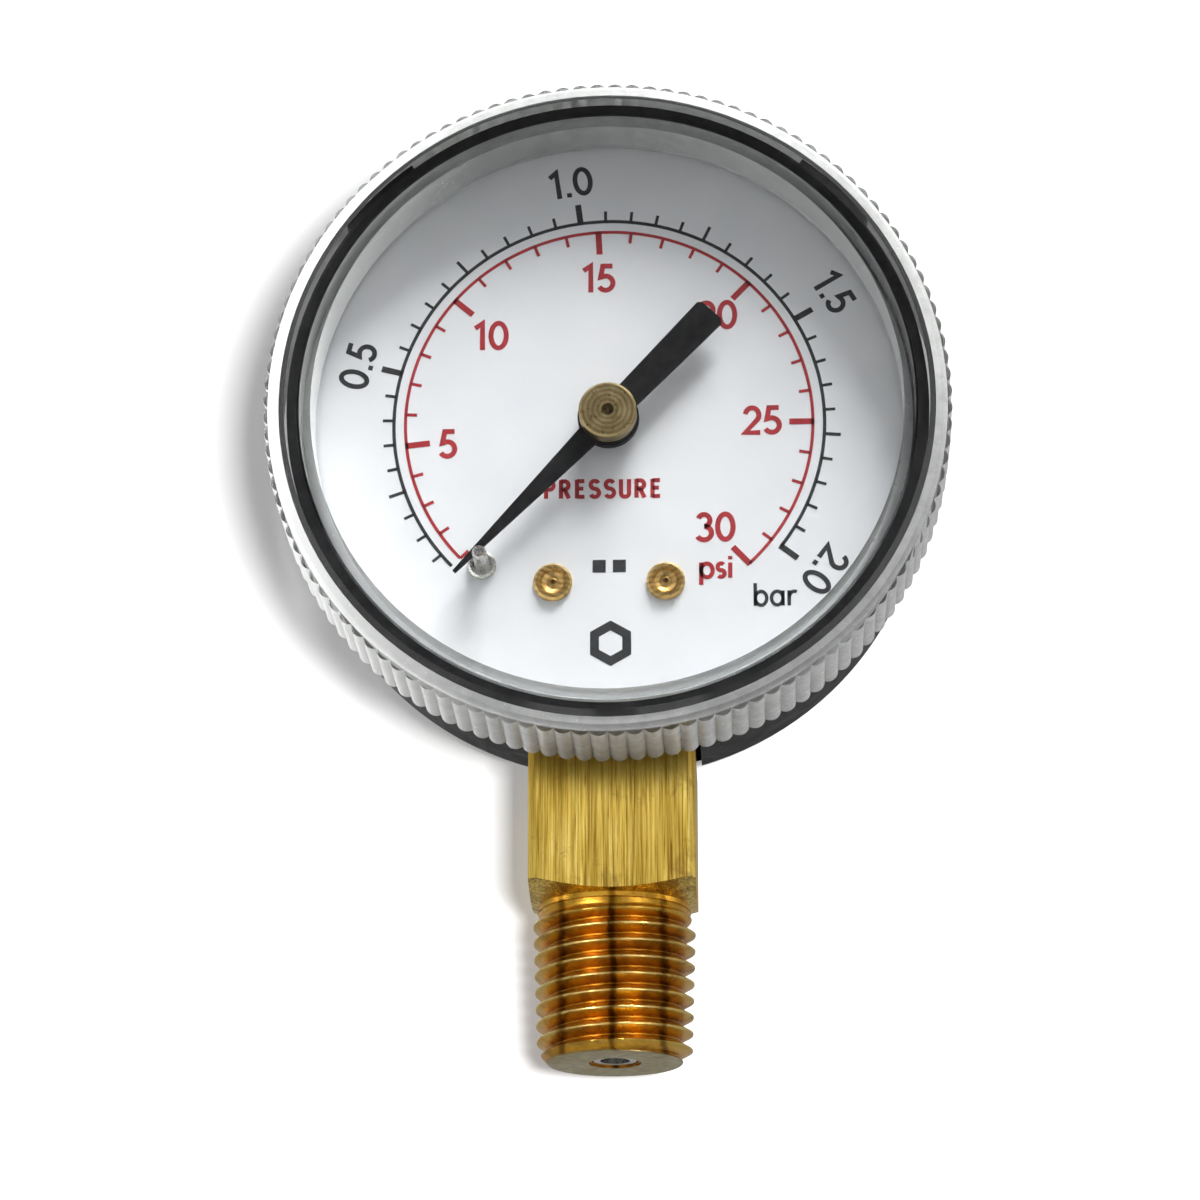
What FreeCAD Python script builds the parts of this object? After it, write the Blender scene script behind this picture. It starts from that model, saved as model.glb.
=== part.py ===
import FreeCAD, Part
import math
import os
import Sketcher
from FreeCAD import Placement, Rotation, Vector

# Low-pressure Bourdon-tube gauge with a bottom pipe connection, in millimetres.
# Row frame: the origin is the centre of the stem's lower end, +Z runs up the stem, and the dial
# faces -Y. Head pieces are placed by (across, up, level): across is +X, up is measured from the
# dial's centre, and level is the height above the outside of the case's back, towards the viewer.

SIZES = {
    # stem and head of the socket
    "StemSquare": 14.0,
    "HeadSquare": 13.8,
    "CornerAcross": 19.0,
    "ShoulderHeight": 13.5,
    "ShoulderRise": 1.05,
    "FlatTop": 26.0,
    "HeadTop": 40.4,
    "TongueTop": 47.0,
    "TongueFront": 2.4,
    "TongueBack": 3.0,
    "ThreadPitch": 1.4111,
    "ThreadEndRadius": 6.55,
    "ThreadDepth": 1.0,
    "ThreadChamfer": 1.0,
    "BoreRadius": 1.5,
    "BoreTop": 36.2,
    "InletRadius": 1.95,
    "InletDepth": 5.0,
    "MouthRadius": 2.2,
    "MouthDepth": 0.15,
    # case
    "DialCentre": 53.0,
    "CaseBack": 7.8,
    "CaseRadius": 27.0,
    "CaseCorner": 3.0,
    "SheetThickness": 0.8,
    "RimLevel": 21.8,
    "EarRadius": 27.75,
    "EarLow": 17.1,
    "EarHigh": 21.7,
    "EarAngle": 16.0,
    "SlotHalf": 7.4,
    "VentRadius": 3.0,
    "VentUp": 12.0,
    "VentFlange": 1.2,
    "VentFlangeHeight": 0.8,
    "ScrewHoleRadius": 1.6,
    "ScrewRadius": 1.25,
    "ScrewHeadRadius": 2.5,
    "ScrewHeadHeight": 1.2,
    "ScrewRecess": 3.0,
    "ScrewRecessWidth": 0.6,
    "ScrewGrip": 4.0,
    "ScrewLower": 22.5,
    "ScrewUpper": 15.0,
    # lens and gasket
    "WindowBack": 23.0,
    "WindowFront": 24.8,
    "WindowRadius": 27.0,
    "ShoulderRadius": 28.1,
    "SkirtBack": 15.4,
    "SkirtInner": 27.95,
    "SkirtRoot": 28.5,
    "ScallopHeight": 0.4,
    "ScallopFront": 23.7,
    "LugInner": 27.2,
    "LugThickness": 1.3,
    "LugAngle": 42.0,
    "CollarInner": 24.9,
    "CollarOuter": 25.85,
    "CollarLow": 18.1,
    "GasketInner": 26.05,
    "GasketOuter": 26.9,
    "GasketTop": 22.9,
    # dial and its fasteners
    "DialRadius": 25.7,
    "DialBack": 17.3,
    "DialFront": 17.8,
    "DialHole": 1.6,
    "EyeletAcross": 4.74,
    "EyeletDrop": 14.15,
    "EyeletRadius": 1.62,
    "EyeletShank": 1.05,
    "StopAcross": 10.7,
    "StopDrop": 12.6,
    "StopRadius": 0.62,
    "StopCollar": 1.2,
    "StopTop": 22.0,
    # pointer
    "BladeLow": 19.4,
    "BladeHigh": 19.8,
    "TipLength": 18.8,
    "TailLength": 12.8,
    "TipHalf": 0.14,
    "NeckHalf": 1.1,
    "TailHalf": 1.4,
    "BushRadius": 2.6,
    "BushLow": 18.4,
    "HubRadius": 2.45,
    "HubTop": 21.3,
    # movement
    "BackPlateLow": 10.2,
    "BackPlateHigh": 11.2,
    "FrontPlateLow": 15.4,
    "FrontPlateHigh": 16.2,
    "PlateHalf": 6.4,
    "PlateBottom": 11.4,
    "PlateTop": 5.0,
    "PlateCorner": 1.0,
    "PillarRadius": 1.2,
    "PillarScrew": 0.8,
    "PillarClear": 0.86,
    "PillarHead": 1.5,
    "PillarHeadHeight": 0.7,
    "DriverSlot": 0.4,
    "StaffRadius": 0.6,
    "StaffClear": 0.62,
    "BushingRadius": 1.3,
    "SectorLow": 13.2,
    "SectorHigh": 14.0,
    "LinkLow": 12.5,
    "LinkHigh": 13.0,
    "PivotRadius": 0.45,
    "PivotClear": 0.5,
    "PinFoot": 0.75,
    "PivotHead": 0.9,
    "PivotHeadHeight": 0.5,
    "TailReach": 5.0,
    "GearModule": 0.2,
    "SectorHub": 1.6,
    "SpringLow": 14.9,
    "SpringHigh": 15.2,
    "ColletRadius": 0.95,
    "StudRadius": 0.35,
    # Bourdon tube
    "TubeRadius": 17.8,
    "TubeHalf": 1.1,
    "TubeWidth": 4.8,
    "TubeWall": 0.3,
    "TubeStart": -25.0,
    "TubeSweep": 289.6,
    "CapSweep": 7.5,
}
THREAD_CRESTS = 9
THREAD_TAPER = 1 / 32
CREST_HALF = 0.06
ROOT_HALF = 0.04
SCALLOPS = 120
PINION_TEETH = 10
SECTOR_TEETH = 80
SECTOR_CUT_TEETH = 10
SECTOR_SWING = 34.0
FAN_ROOT = 1.2
FAN_ROOT_TURN = 40.0
POINTER_ANGLE = 226.5
CASE_EAR_ANGLES = (45, 135, 225, 315)
LENS_LUG_ANGLES = (54, 144, 234, 324)
ARBOR_DIRECTION = -60.0
TAIL_DIRECTION = -50.0
TIP_PIVOT = (13.2, -6.2)
PILLAR_PLACES = ((-4.6, -9.8), (1.2, -9.8), (-4.6, 3.2), (4.6, 3.2))
LONG_SCREWS = 2
HAIRSPRING_TURNS = 5
HAIRSPRING_PITCH = 0.48
HAIRSPRING_STRIP = 0.1
TOOTH_BACKLASH = 0.02
TOOTH_FLANK = 20.0
TOOTH_ADDENDUM = 0.75
TOOTH_DEDENDUM = 1.05
LINK_HALF = 0.85
TAIL_HALF = 1.05
TAIL_SLOT_HALF = 0.6
TAIL_SLOT_IN = 0.35
TAIL_SLOT_OUT = 0.3

doc = FreeCAD.newDocument("PressureGauge")
sheet = doc.addObject("Spreadsheet::Sheet", "Sizes")
for row, (alias, number) in enumerate(SIZES.items(), start=1):
    sheet.set("A%d" % row, alias)
    sheet.set("B%d" % row, str(number))
    sheet.setAlias("B%d" % row, alias)
doc.recompute()

subparts = []


# ---- sums of named sizes -------------------------------------------------------------------

def measure(words):
    """The number that a sum such as "RimLevel - 0.5*SheetThickness" comes to."""
    total, sign = 0.0, 1.0
    for word in words.split():
        if word in ("+", "-"):
            sign = 1.0 if word == "+" else -1.0
            continue
        product = sign
        for factor in word.split("*"):
            product *= getattr(sheet, factor) if factor in SIZES else float(factor)
        total += product
    return total


def bound(words):
    """The same sum as an expression that follows the spreadsheet."""
    def linked(word):
        return "*".join("Sizes." + f if f in SIZES else f for f in word.split("*"))
    return " ".join(linked(word) for word in words.split())


def bind(obj, **properties):
    for prop, words in properties.items():
        obj.setExpression(prop.replace("__", "."), bound(words))


def minus(words):
    """The words of a sum that takes another sum away."""
    flipped = words.replace(" - ", " @ ").replace(" + ", " - ").replace(" @ ", " + ")
    return " - " + flipped


# ---- placing -------------------------------------------------------------------------------

def in_head(obj, across="0", up="0", level="0", turn=0.0):
    """Stand an object on the head: its own z axis points at the viewer, at -Y."""
    obj.Placement = Placement(Vector(), Rotation(Vector(1, 0, 0), 90) * Rotation(Vector(0, 0, 1), turn))
    bind(obj, Placement__Base__x=across, Placement__Base__y="CaseBack" + minus(level),
         Placement__Base__z="DialCentre + " + up)
    return obj


def keep(obj, label):
    """Mark an object as a finished sub-part; its label names its file."""
    obj.Label = label
    subparts.append(obj)
    return obj


# ---- primitives in the head frame ----------------------------------------------------------

def rod(name, radius, low, high, across="0", up="0", angle=None, turn=0.0):
    cylinder = doc.addObject("Part::Cylinder", name)
    bind(cylinder, Radius=radius, Height=high + minus(low))
    if angle:
        bind(cylinder, Angle=angle)
    return in_head(cylinder, across, up, low, turn)


def block(name, west, east, front, back, bottom, top):
    """A box between planes of the row frame."""
    box = doc.addObject("Part::Box", name)
    bind(box, Length=east + minus(west), Width=back + minus(front), Height=top + minus(bottom),
         Placement__Base__x=west, Placement__Base__y=front, Placement__Base__z=bottom)
    return box


def joined(name, pieces):
    fuse = doc.addObject("Part::MultiFuse", name)
    fuse.Shapes = pieces
    return fuse


def cut(name, base, *tools):
    result = doc.addObject("Part::Cut", name)
    result.Base = base
    result.Tool = tools[0] if len(tools) == 1 else joined(name + "Tools", list(tools))
    return result


def group(name, pieces):
    compound = doc.addObject("Part::Compound", name)
    compound.Links = pieces
    return compound


def ring_part(name, inner, outer, low, high, angle, turn):
    """A stretch of a ring round the dial's centre, starting at an angle."""
    return cut(name, rod(name + "Outer", outer, low, high, angle=angle, turn=turn),
               rod(name + "Inner", inner, low + " - 1", high + " + 1"))


# ---- sketched bodies -----------------------------------------------------------------------

def closed_sketch(body, name, role, outline, level="0"):
    """A closed outline of straight lines whose corners are sums of named sizes."""
    sketch = body.newObject("Sketcher::SketchObject", name)
    plane = [item for item in body.Origin.OriginFeatures if item.Role == role][0]
    sketch.AttachmentSupport = [(plane, "")]
    sketch.MapMode = "FlatFace"
    bind(sketch, AttachmentOffset__Base__z=level)
    corners = [Vector(measure(first), measure(second), 0) for first, second in outline]
    count = len(corners)
    for index in range(count):
        sketch.addGeometry(Part.LineSegment(corners[index], corners[(index + 1) % count]))
    for index in range(count):
        sketch.addConstraint(Sketcher.Constraint("Coincident", index, 2, (index + 1) % count, 1))
    for index, corner in enumerate(outline):
        for kind, axis, words in (("DistanceX", -2, corner[0]), ("DistanceY", -1, corner[1])):
            if words == "0":
                sketch.addConstraint(Sketcher.Constraint("PointOnObject", index, 1, axis))
                continue
            number = sketch.addConstraint(
                Sketcher.Constraint(kind, -1, 1, index, 1, measure(words)))
            sketch.setExpression("Constraints[%d]" % number, bound(words))
    return sketch


def turned(name, profile):
    """A solid of revolution about its own z axis, from (radius, height) corners."""
    body = doc.addObject("PartDesign::Body", name)
    sketch = closed_sketch(body, name + "Profile", "XZ_Plane", profile)
    revolution = body.newObject("PartDesign::Revolution", name + "Turned")
    revolution.Profile = sketch
    revolution.ReferenceAxis = (sketch, ["V_Axis"])
    revolution.Angle = 360
    sketch.Visibility = False
    return body


def padded(name, outline, thickness, level="0"):
    """A plate with a straight-sided outline in its own XY plane."""
    body = doc.addObject("PartDesign::Body", name)
    sketch = closed_sketch(body, name + "Outline", "XY_Plane", outline, level)
    pad = body.newObject("PartDesign::Pad", name + "Plate")
    pad.Profile = sketch
    bind(pad, Length=thickness)
    sketch.Visibility = False
    return body


def rounded(name, body, circles, size):
    """Round a body's circular edges, each named by its (radius, height)."""
    doc.recompute()
    base = body.Tip
    wanted = [(measure(radius), measure(height)) for radius, height in circles]
    names = []
    for index, edge in enumerate(base.Shape.Edges, start=1):
        if not hasattr(edge.Curve, "Radius"):
            continue
        here = (edge.Curve.Radius, edge.Curve.Center.z)
        if any(math.dist(here, circle) < 0.001 for circle in wanted):
            names.append("Edge%d" % index)
    fillet = body.newObject("PartDesign::Fillet", name)
    fillet.Base = (base, names)
    bind(fillet, Radius=size)
    return body


# ---- outlines that follow a formula --------------------------------------------------------

def polar(radius, degrees, centre=(0.0, 0.0)):
    turn = math.radians(degrees)
    return Vector(centre[0] + radius * math.cos(turn), centre[1] + radius * math.sin(turn), 0)


def plate_from(name, wire, low, high, centre=("0", "0")):
    """A flat piece with a calculated outline, between two levels of the head."""
    piece = doc.addObject("Part::Feature", name)
    piece.Shape = Part.Face(wire).extrude(Vector(0, 0, measure(high) - measure(low)))
    return in_head(piece, centre[0], centre[1], low)


def tooth_corners(pitch_radius, middle):
    """Four corners of one stub gear tooth, with a little backlash."""
    module = measure("GearModule")
    half = math.pi * module / 4 - TOOTH_BACKLASH
    slope = math.tan(math.radians(TOOTH_FLANK))
    addendum, dedendum = TOOTH_ADDENDUM * module, TOOTH_DEDENDUM * module
    low, high = pitch_radius - dedendum, pitch_radius + addendum
    low_turn = math.degrees((half + dedendum * slope) / low)
    high_turn = math.degrees((half - addendum * slope) / high)
    return [polar(low, middle - low_turn), polar(high, middle - high_turn),
            polar(high, middle + high_turn), polar(low, middle + low_turn)]


def scalloped_wire(root, height, count):
    """A ring of shallow round bumps."""
    arcs = []
    for index in range(count):
        start, middle, end = (360.0 / count * (index + share) for share in (0, 0.5, 1))
        arcs.append(Part.Arc(polar(root, start), polar(root + height, middle),
                             polar(root, end)).toShape())
    return Part.Wire(arcs)


def spiral_wire(inner, pitch, strip, turns):
    """The outline of a flat spiral strip, made of half circles."""
    def half_circles(radius):
        path = []
        for turn in range(turns):
            reach = radius + turn * pitch
            path.append(Part.Arc(Vector(reach, 0), Vector(0, reach), Vector(-reach, 0)))
            wide = reach + pitch / 2
            path.append(Part.Arc(Vector(-reach, 0), Vector(pitch / 2, -wide),
                                 Vector(reach + pitch, 0)))
        return [arc.toShape() for arc in path]
    near, far = half_circles(inner), half_circles(inner + strip)
    end = inner + turns * pitch
    start_line = Part.makeLine(Vector(inner, 0), Vector(inner + strip, 0))
    end_line = Part.makeLine(Vector(end, 0), Vector(end + strip, 0))
    return Part.Wire(Part.sortEdges(near + far + [start_line, end_line])[0])


# ---- places worked out from the gears ------------------------------------------------------

PINION_PITCH = SIZES["GearModule"] * PINION_TEETH / 2
SECTOR_PITCH = SIZES["GearModule"] * SECTOR_TEETH / 2
ARBOR = polar(PINION_PITCH + SECTOR_PITCH, ARBOR_DIRECTION)
MESH_DIRECTION = ARBOR_DIRECTION + 180
TAIL_PIN = ARBOR + polar(SIZES["TailReach"], TAIL_DIRECTION)
AT_ARBOR = (str(round(ARBOR.x, 4)), str(round(ARBOR.y, 4)))


# ---- socket: square bar, tapered thread and head -------------------------------------------

def thread_profile():
    """Half section of the threaded end: a 1 in 16 taper with V grooves between crests."""
    profile = [("0", "0"), ("ThreadEndRadius - ThreadDepth", "0")]
    for crest in range(THREAD_CRESTS):
        reach = "ThreadEndRadius + %.5f*ThreadPitch" % (crest * THREAD_TAPER)
        for height in (crest - CREST_HALF, crest + CREST_HALF):
            profile.append((reach, "ThreadChamfer + %.2f*ThreadPitch" % height))
        if crest == THREAD_CRESTS - 1:
            break
        middle = crest + 0.5
        root = "ThreadEndRadius - ThreadDepth + %.5f*ThreadPitch" % (middle * THREAD_TAPER)
        for height in (middle - ROOT_HALF, middle + ROOT_HALF):
            profile.append((root, "ThreadChamfer + %.2f*ThreadPitch" % height))
    profile.append(("ThreadEndRadius - 0.15", "ShoulderHeight - 0.6"))
    profile.append(("ThreadEndRadius - 0.15", "ShoulderHeight + 1"))
    profile.append(("0", "ShoulderHeight + 1"))
    return profile


def make_socket():
    half, relieved = "0.5*StemSquare", "0.5*HeadSquare"
    bar = block("StemBar", "0 - " + half, half, "0 - " + half, half, "ShoulderHeight - 0.5", "FlatTop")
    corner_stock = block("CornerStock", "0 - 0.5*CornerAcross", "0.5*CornerAcross",
                         "0 - 0.5*CornerAcross", "0.5*CornerAcross", "0", "FlatTop")
    corner_turn = doc.addObject("Part::Compound", "CornerTurned")
    corner_turn.Links = [corner_stock]
    corner_turn.Placement.Rotation = Rotation(Vector(0, 0, 1), 45)
    shoulder = turned("ShoulderCone", [
        ("0", "ShoulderHeight - 0.5"), ("0.5*StemSquare - 1.5", "ShoulderHeight - 0.5"),
        ("0.5*StemSquare", "ShoulderHeight"), ("0.5*StemSquare + 3", "ShoulderHeight + ShoulderRise"),
        ("0.5*StemSquare + 3", "FlatTop"), ("0", "FlatTop")])
    stem = doc.addObject("Part::MultiCommon", "StemSquareBar")
    stem.Shapes = [bar, corner_turn, shoulder]
    head = block("HeadBar", "0 - " + relieved, relieved, "0 - " + relieved, "0.5*StemSquare",
                 "FlatTop - 0.2", "HeadTop")
    tongue = block("HeadTongue", "0 - " + relieved, relieved, "0 - TongueFront", "TongueBack",
                   "HeadTop - 0.2", "TongueTop")
    thread = turned("ThreadedEnd", thread_profile())
    solid = joined("SocketSolid", [thread, stem, head, tongue])
    bore = turned("InletBore", [
        ("0", "0 - 1"), ("MouthRadius", "0 - 1"), ("MouthRadius", "MouthDepth"),
        ("InletRadius", "MouthDepth"), ("InletRadius", "InletDepth"), ("BoreRadius", "InletDepth"),
        ("BoreRadius", "BoreTop"), ("0", "BoreTop")])
    tools = [bore, tube_solid("TubeSeat", "TubeHalf")]
    for side, across in (("Left", "0 - EyeletAcross"), ("Right", "EyeletAcross")):
        tools.append(rod("EyeletHole" + side, "EyeletShank", "CaseBack + 3.8",
                         "CaseBack + StemSquare", across, "0 - EyeletDrop"))
    for index, drop in enumerate(("ScrewLower", "ScrewUpper")):
        tools.append(rod("CaseScrewHole%d" % index, "ScrewRadius", "0",
                         "SheetThickness + ScrewGrip", "0", "0 - " + drop))
    for index, (across, up) in enumerate(PILLAR_PLACES[:LONG_SCREWS]):
        tools.append(rod("MovementScrewHole%d" % index, "PillarScrew", "BackPlateLow - 4",
                         "BackPlateLow + 1", str(across), str(up)))
    keep(cut("Socket", solid, *tools), "socket")
    restrictor = turned("Restrictor", [
        ("0.3", "0"), ("1.25", "0"), ("1.25", "0 - 1.3"), ("InletRadius - 0.12", "0 - 1.3"),
        ("InletRadius", "0 - 1.15"), ("InletRadius", "1.2"), ("0.3", "1.2")])
    bind(restrictor, Placement__Base__z="MouthDepth + 1.35")
    keep(restrictor, "restrictor")


# ---- Bourdon tube --------------------------------------------------------------------------

def tube_solid(name, half, start="TubeStart", sweep="TubeSweep"):
    """A flattened ring section: two parallel walls joined by two round edges."""
    turn = measure(start)
    low, high = "CaseBack - 0.5*TubeWidth", "CaseBack + 0.5*TubeWidth"
    flat = cut(name + "Flat",
               rod(name + "FlatOuter", "TubeRadius + " + half, low, high, angle=sweep, turn=turn),
               rod(name + "FlatInner", "TubeRadius" + minus(half), low + " - 1", high + " + 1"))
    edges = []
    for side, level in (("Back", low), ("Front", high)):
        torus = doc.addObject("Part::Torus", name + side + "Edge")
        bind(torus, Radius1="TubeRadius", Radius2=half, Angle3=sweep)
        edges.append(in_head(torus, "0", "0", level, turn))
    return joined(name, [flat] + edges)


def make_tube():
    tube = cut("BourdonTube", tube_solid("TubeOutside", "TubeHalf"),
               tube_solid("TubeInside", "TubeHalf - TubeWall"))
    keep(tube, "bourdon_tube")
    cap = tube_solid("TubeCap", "TubeHalf", "TubeStart - CapSweep", "CapSweep")
    pivot = polar(0, 0, TIP_PIVOT)
    seat = polar(SIZES["TubeRadius"] - 0.3, SIZES["TubeStart"] - 0.62 * SIZES["CapSweep"])
    lug = strip("TipLug", pivot, seat, LINK_HALF, "CaseBack + 2", "CaseBack + 3.4")
    boss = rod("TipBoss", "1", "CaseBack + 2", "LinkLow - 0.2", str(pivot.x), str(pivot.y))
    hole = rod("TipPivotHole", "PivotRadius", "CaseBack + 1", "LinkLow", str(pivot.x), str(pivot.y))
    keep(cut("TubeEndPiece", joined("TipSolid", [cap, lug, boss]), hole), "tube_end_piece")
    screw = turned("TipPivotScrew", [
        ("0", "0"), ("PivotRadius", "0"), ("PivotRadius", "LinkHigh - CaseBack - 1.9"),
        ("PivotHead", "LinkHigh - CaseBack - 1.9"),
        ("PivotHead", "LinkHigh - CaseBack - 1.9 + PivotHeadHeight"),
        ("0", "LinkHigh - CaseBack - 1.9 + PivotHeadHeight")])
    keep(in_head(screw, str(pivot.x), str(pivot.y), "CaseBack + 2"), "tip_pivot_screw")


def strip(name, start, end, half, low, high):
    """A flat bar with round ends between two points of the head."""
    along = (end - start).normalize()
    side = Vector(-along.y, along.x, 0) * half
    out = along * half
    edges = [Part.makeLine(start - side, end - side),
             Part.Arc(end - side, end + out, end + side).toShape(),
             Part.makeLine(end + side, start + side),
             Part.Arc(start + side, start - out, start - side).toShape()]
    return plate_from(name, Part.Wire(edges), low, high)


# ---- movement ------------------------------------------------------------------------------

def trimmed_rectangle(half, bottom, top, corner):
    """Eight corners of a rectangle about the middle line, with its corners cut off."""
    inside = half + minus(corner)
    lower, upper = bottom + " + " + corner, top + minus(corner)
    return [(half, lower), (half, upper), (inside, top), ("0" + minus(inside), top),
            ("0 - " + half, upper), ("0 - " + half, lower), ("0" + minus(inside), bottom),
            (inside, bottom)]


def make_plate(name, label, low, high):
    outline = trimmed_rectangle("PlateHalf", "0 - PlateBottom", "PlateTop", "PlateCorner")
    plate = in_head(padded(name + "Blank", outline, high + minus(low)), "0", "0", low)
    holes = [rod(name + "StaffHole", "BushingRadius", low + " - 1", high + " + 1"),
             rod(name + "ArborHole", "StaffClear", low + " - 1", high + " + 1", *AT_ARBOR)]
    for index, (across, up) in enumerate(PILLAR_PLACES):
        holes.append(rod("%sScrewHole%d" % (name, index), "PillarClear", low + " - 1", high + " + 1",
                         str(across), str(up)))
    keep(cut(name, plate, *holes), label)


def make_movement():
    make_plate("BackPlate", "movement_back_plate", "BackPlateLow", "BackPlateHigh")
    make_plate("FrontPlate", "movement_front_plate", "FrontPlateLow", "FrontPlateHigh")

    bushings = []
    for side, low, high in (("Back", "BackPlateLow", "BackPlateHigh"),
                            ("Front", "FrontPlateLow", "FrontPlateHigh")):
        bushing = turned(side + "Bushing", [
            ("StaffClear", "0"), ("BushingRadius", "0"), ("BushingRadius", high + minus(low)),
            ("StaffClear", high + minus(low))])
        bushings.append(in_head(bushing, "0", "0", low))
    keep(group("Bushings", bushings), "movement_bushes")

    pillars, screws = [], []
    for index, (across, up) in enumerate(PILLAR_PLACES):
        place = (str(across), str(up))
        pillar = turned("Pillar%d" % index, [
            ("PillarClear", "0"), ("PillarRadius", "0"),
            ("PillarRadius", "FrontPlateLow - BackPlateHigh"),
            ("PillarClear", "FrontPlateLow - BackPlateHigh")])
        pillars.append(in_head(pillar, place[0], place[1], "BackPlateHigh"))
        foot = "BackPlateLow - 3.6" if index < LONG_SCREWS else "BackPlateLow - 0.3"
        length = "FrontPlateHigh" + minus(foot)
        screw = turned("MovementScrew%d" % index, [
            ("0", "0"), ("PillarScrew", "0"), ("PillarScrew", length), ("PillarHead", length),
            ("PillarHead", length + " + PillarHeadHeight - 0.2"),
            ("PillarHead - 0.2", length + " + PillarHeadHeight"),
            ("0", length + " + PillarHeadHeight")])
        in_head(screw, place[0], place[1], foot)
        slot = doc.addObject("Part::Box", "MovementSlot%d" % index)
        bind(slot, Length="2*PillarHead + 0.2", Width="DriverSlot", Height="1")
        in_head(slot, place[0] + " - PillarHead - 0.1", place[1] + " - 0.5*DriverSlot",
                "FrontPlateHigh + 0.5*PillarHeadHeight")
        screws.append(cut("SlottedScrew%d" % index, screw, slot))
    keep(group("Pillars", pillars), "movement_pillars")
    keep(group("MovementScrews", screws), "movement_screws")


def make_sector():
    """Toothed fan, slotted tail and hub on the arbor, stored at the zero end of its swing."""
    pitch = 360.0 / SECTOR_TEETH
    last = MESH_DIRECTION + pitch / 2
    first = last - (SECTOR_CUT_TEETH - 1) * pitch
    middle = MESH_DIRECTION - SECTOR_SWING / 2
    corners = []
    for index in range(SECTOR_CUT_TEETH):
        corners += tooth_corners(SECTOR_PITCH, first + index * pitch)
    corners += [polar(FAN_ROOT, middle + FAN_ROOT_TURN), polar(FAN_ROOT, middle - FAN_ROOT_TURN)]
    wire = Part.makePolygon(corners + corners[:1])
    fan = plate_from("SectorFan", wire, "SectorLow", "SectorHigh", AT_ARBOR)
    hub = rod("SectorHub", "SectorHub", "SectorLow - 0.3", "SectorHigh + 0.5", *AT_ARBOR)
    along = polar(1, TAIL_DIRECTION)
    near, far = TAIL_PIN - along * TAIL_SLOT_IN, TAIL_PIN + along * TAIL_SLOT_OUT
    tail = strip("SectorTail", ARBOR, TAIL_PIN, TAIL_HALF, "SectorLow", "SectorHigh")
    end = strip("SectorTailEnd", near, far, TAIL_HALF, "SectorLow", "SectorHigh")
    slot = strip("SectorTailSlot", near, far, TAIL_SLOT_HALF, "SectorLow - 1", "SectorHigh + 1")
    eye = rod("SectorEye", "StaffRadius", "SectorLow - 1", "SectorHigh + 1", *AT_ARBOR)
    keep(cut("SectorGear", joined("SectorSolid", [fan, hub, tail, end]), slot, eye), "sector_gear")
    keep(rod("SectorArbor", "StaffRadius", "BackPlateLow + 0.05", "FrontPlateHigh - 0.05", *AT_ARBOR),
         "sector_arbor")


def make_link():
    pivot = polar(0, 0, TIP_PIVOT)
    bar = strip("LinkBar", TAIL_PIN, pivot, LINK_HALF, "LinkLow", "LinkHigh")
    holes = [rod("LinkTipHole", "PivotClear", "LinkLow - 1", "LinkHigh + 1", str(pivot.x), str(pivot.y)),
             rod("LinkTailHole", "PivotRadius", "LinkLow - 1", "LinkHigh + 1",
                 str(TAIL_PIN.x), str(TAIL_PIN.y))]
    keep(cut("Link", bar, *holes), "link")
    pin = turned("TailPin", [
        ("0", "0"), ("PinFoot", "0"), ("PinFoot", "0.25"), ("PivotRadius", "0.25"),
        ("PivotRadius", "SectorHigh - LinkLow + 0.35"), ("PivotHead", "SectorHigh - LinkLow + 0.35"),
        ("PivotHead", "SectorHigh - LinkLow + 0.75"), ("0", "SectorHigh - LinkLow + 0.75")])
    keep(in_head(pin, str(TAIL_PIN.x), str(TAIL_PIN.y), "LinkLow - 0.25"), "sector_pivot_pin")


def make_pinion():
    """Staff with a leaf pinion; its tooth on the line of centres meets a sector space."""
    pitch = 360.0 / PINION_TEETH
    corners = []
    for index in range(PINION_TEETH):
        corners += tooth_corners(PINION_PITCH, ARBOR_DIRECTION + index * pitch)
    leaves = plate_from("PinionLeaves", Part.makePolygon(corners + corners[:1]),
                        "SectorLow - 0.8", "SectorHigh + 0.8")
    staff = rod("PinionStaff", "StaffRadius", "BackPlateLow - 0.5", "HubTop - 0.5")
    keep(joined("Pinion", [leaves, staff]), "pinion")

    collet = turned("HairspringCollet", [
        ("StaffRadius", "0"), ("ColletRadius", "0"), ("ColletRadius", "SpringHigh - SpringLow + 0.15"),
        ("StaffRadius", "SpringHigh - SpringLow + 0.15")])
    keep(in_head(collet, "0", "0", "SpringLow - 0.08"), "hairspring_collet")
    wire = spiral_wire(SIZES["ColletRadius"], HAIRSPRING_PITCH, HAIRSPRING_STRIP, HAIRSPRING_TURNS)
    keep(plate_from("Hairspring", wire, "SpringLow", "SpringHigh"), "hairspring")
    end = SIZES["ColletRadius"] + HAIRSPRING_TURNS * HAIRSPRING_PITCH + HAIRSPRING_STRIP
    keep(rod("HairspringStud", "StudRadius", "SpringLow - 0.2", "FrontPlateLow",
             str(end) + " + StudRadius", "0"), "hairspring_stud")


# ---- pointer -------------------------------------------------------------------------------

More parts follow.
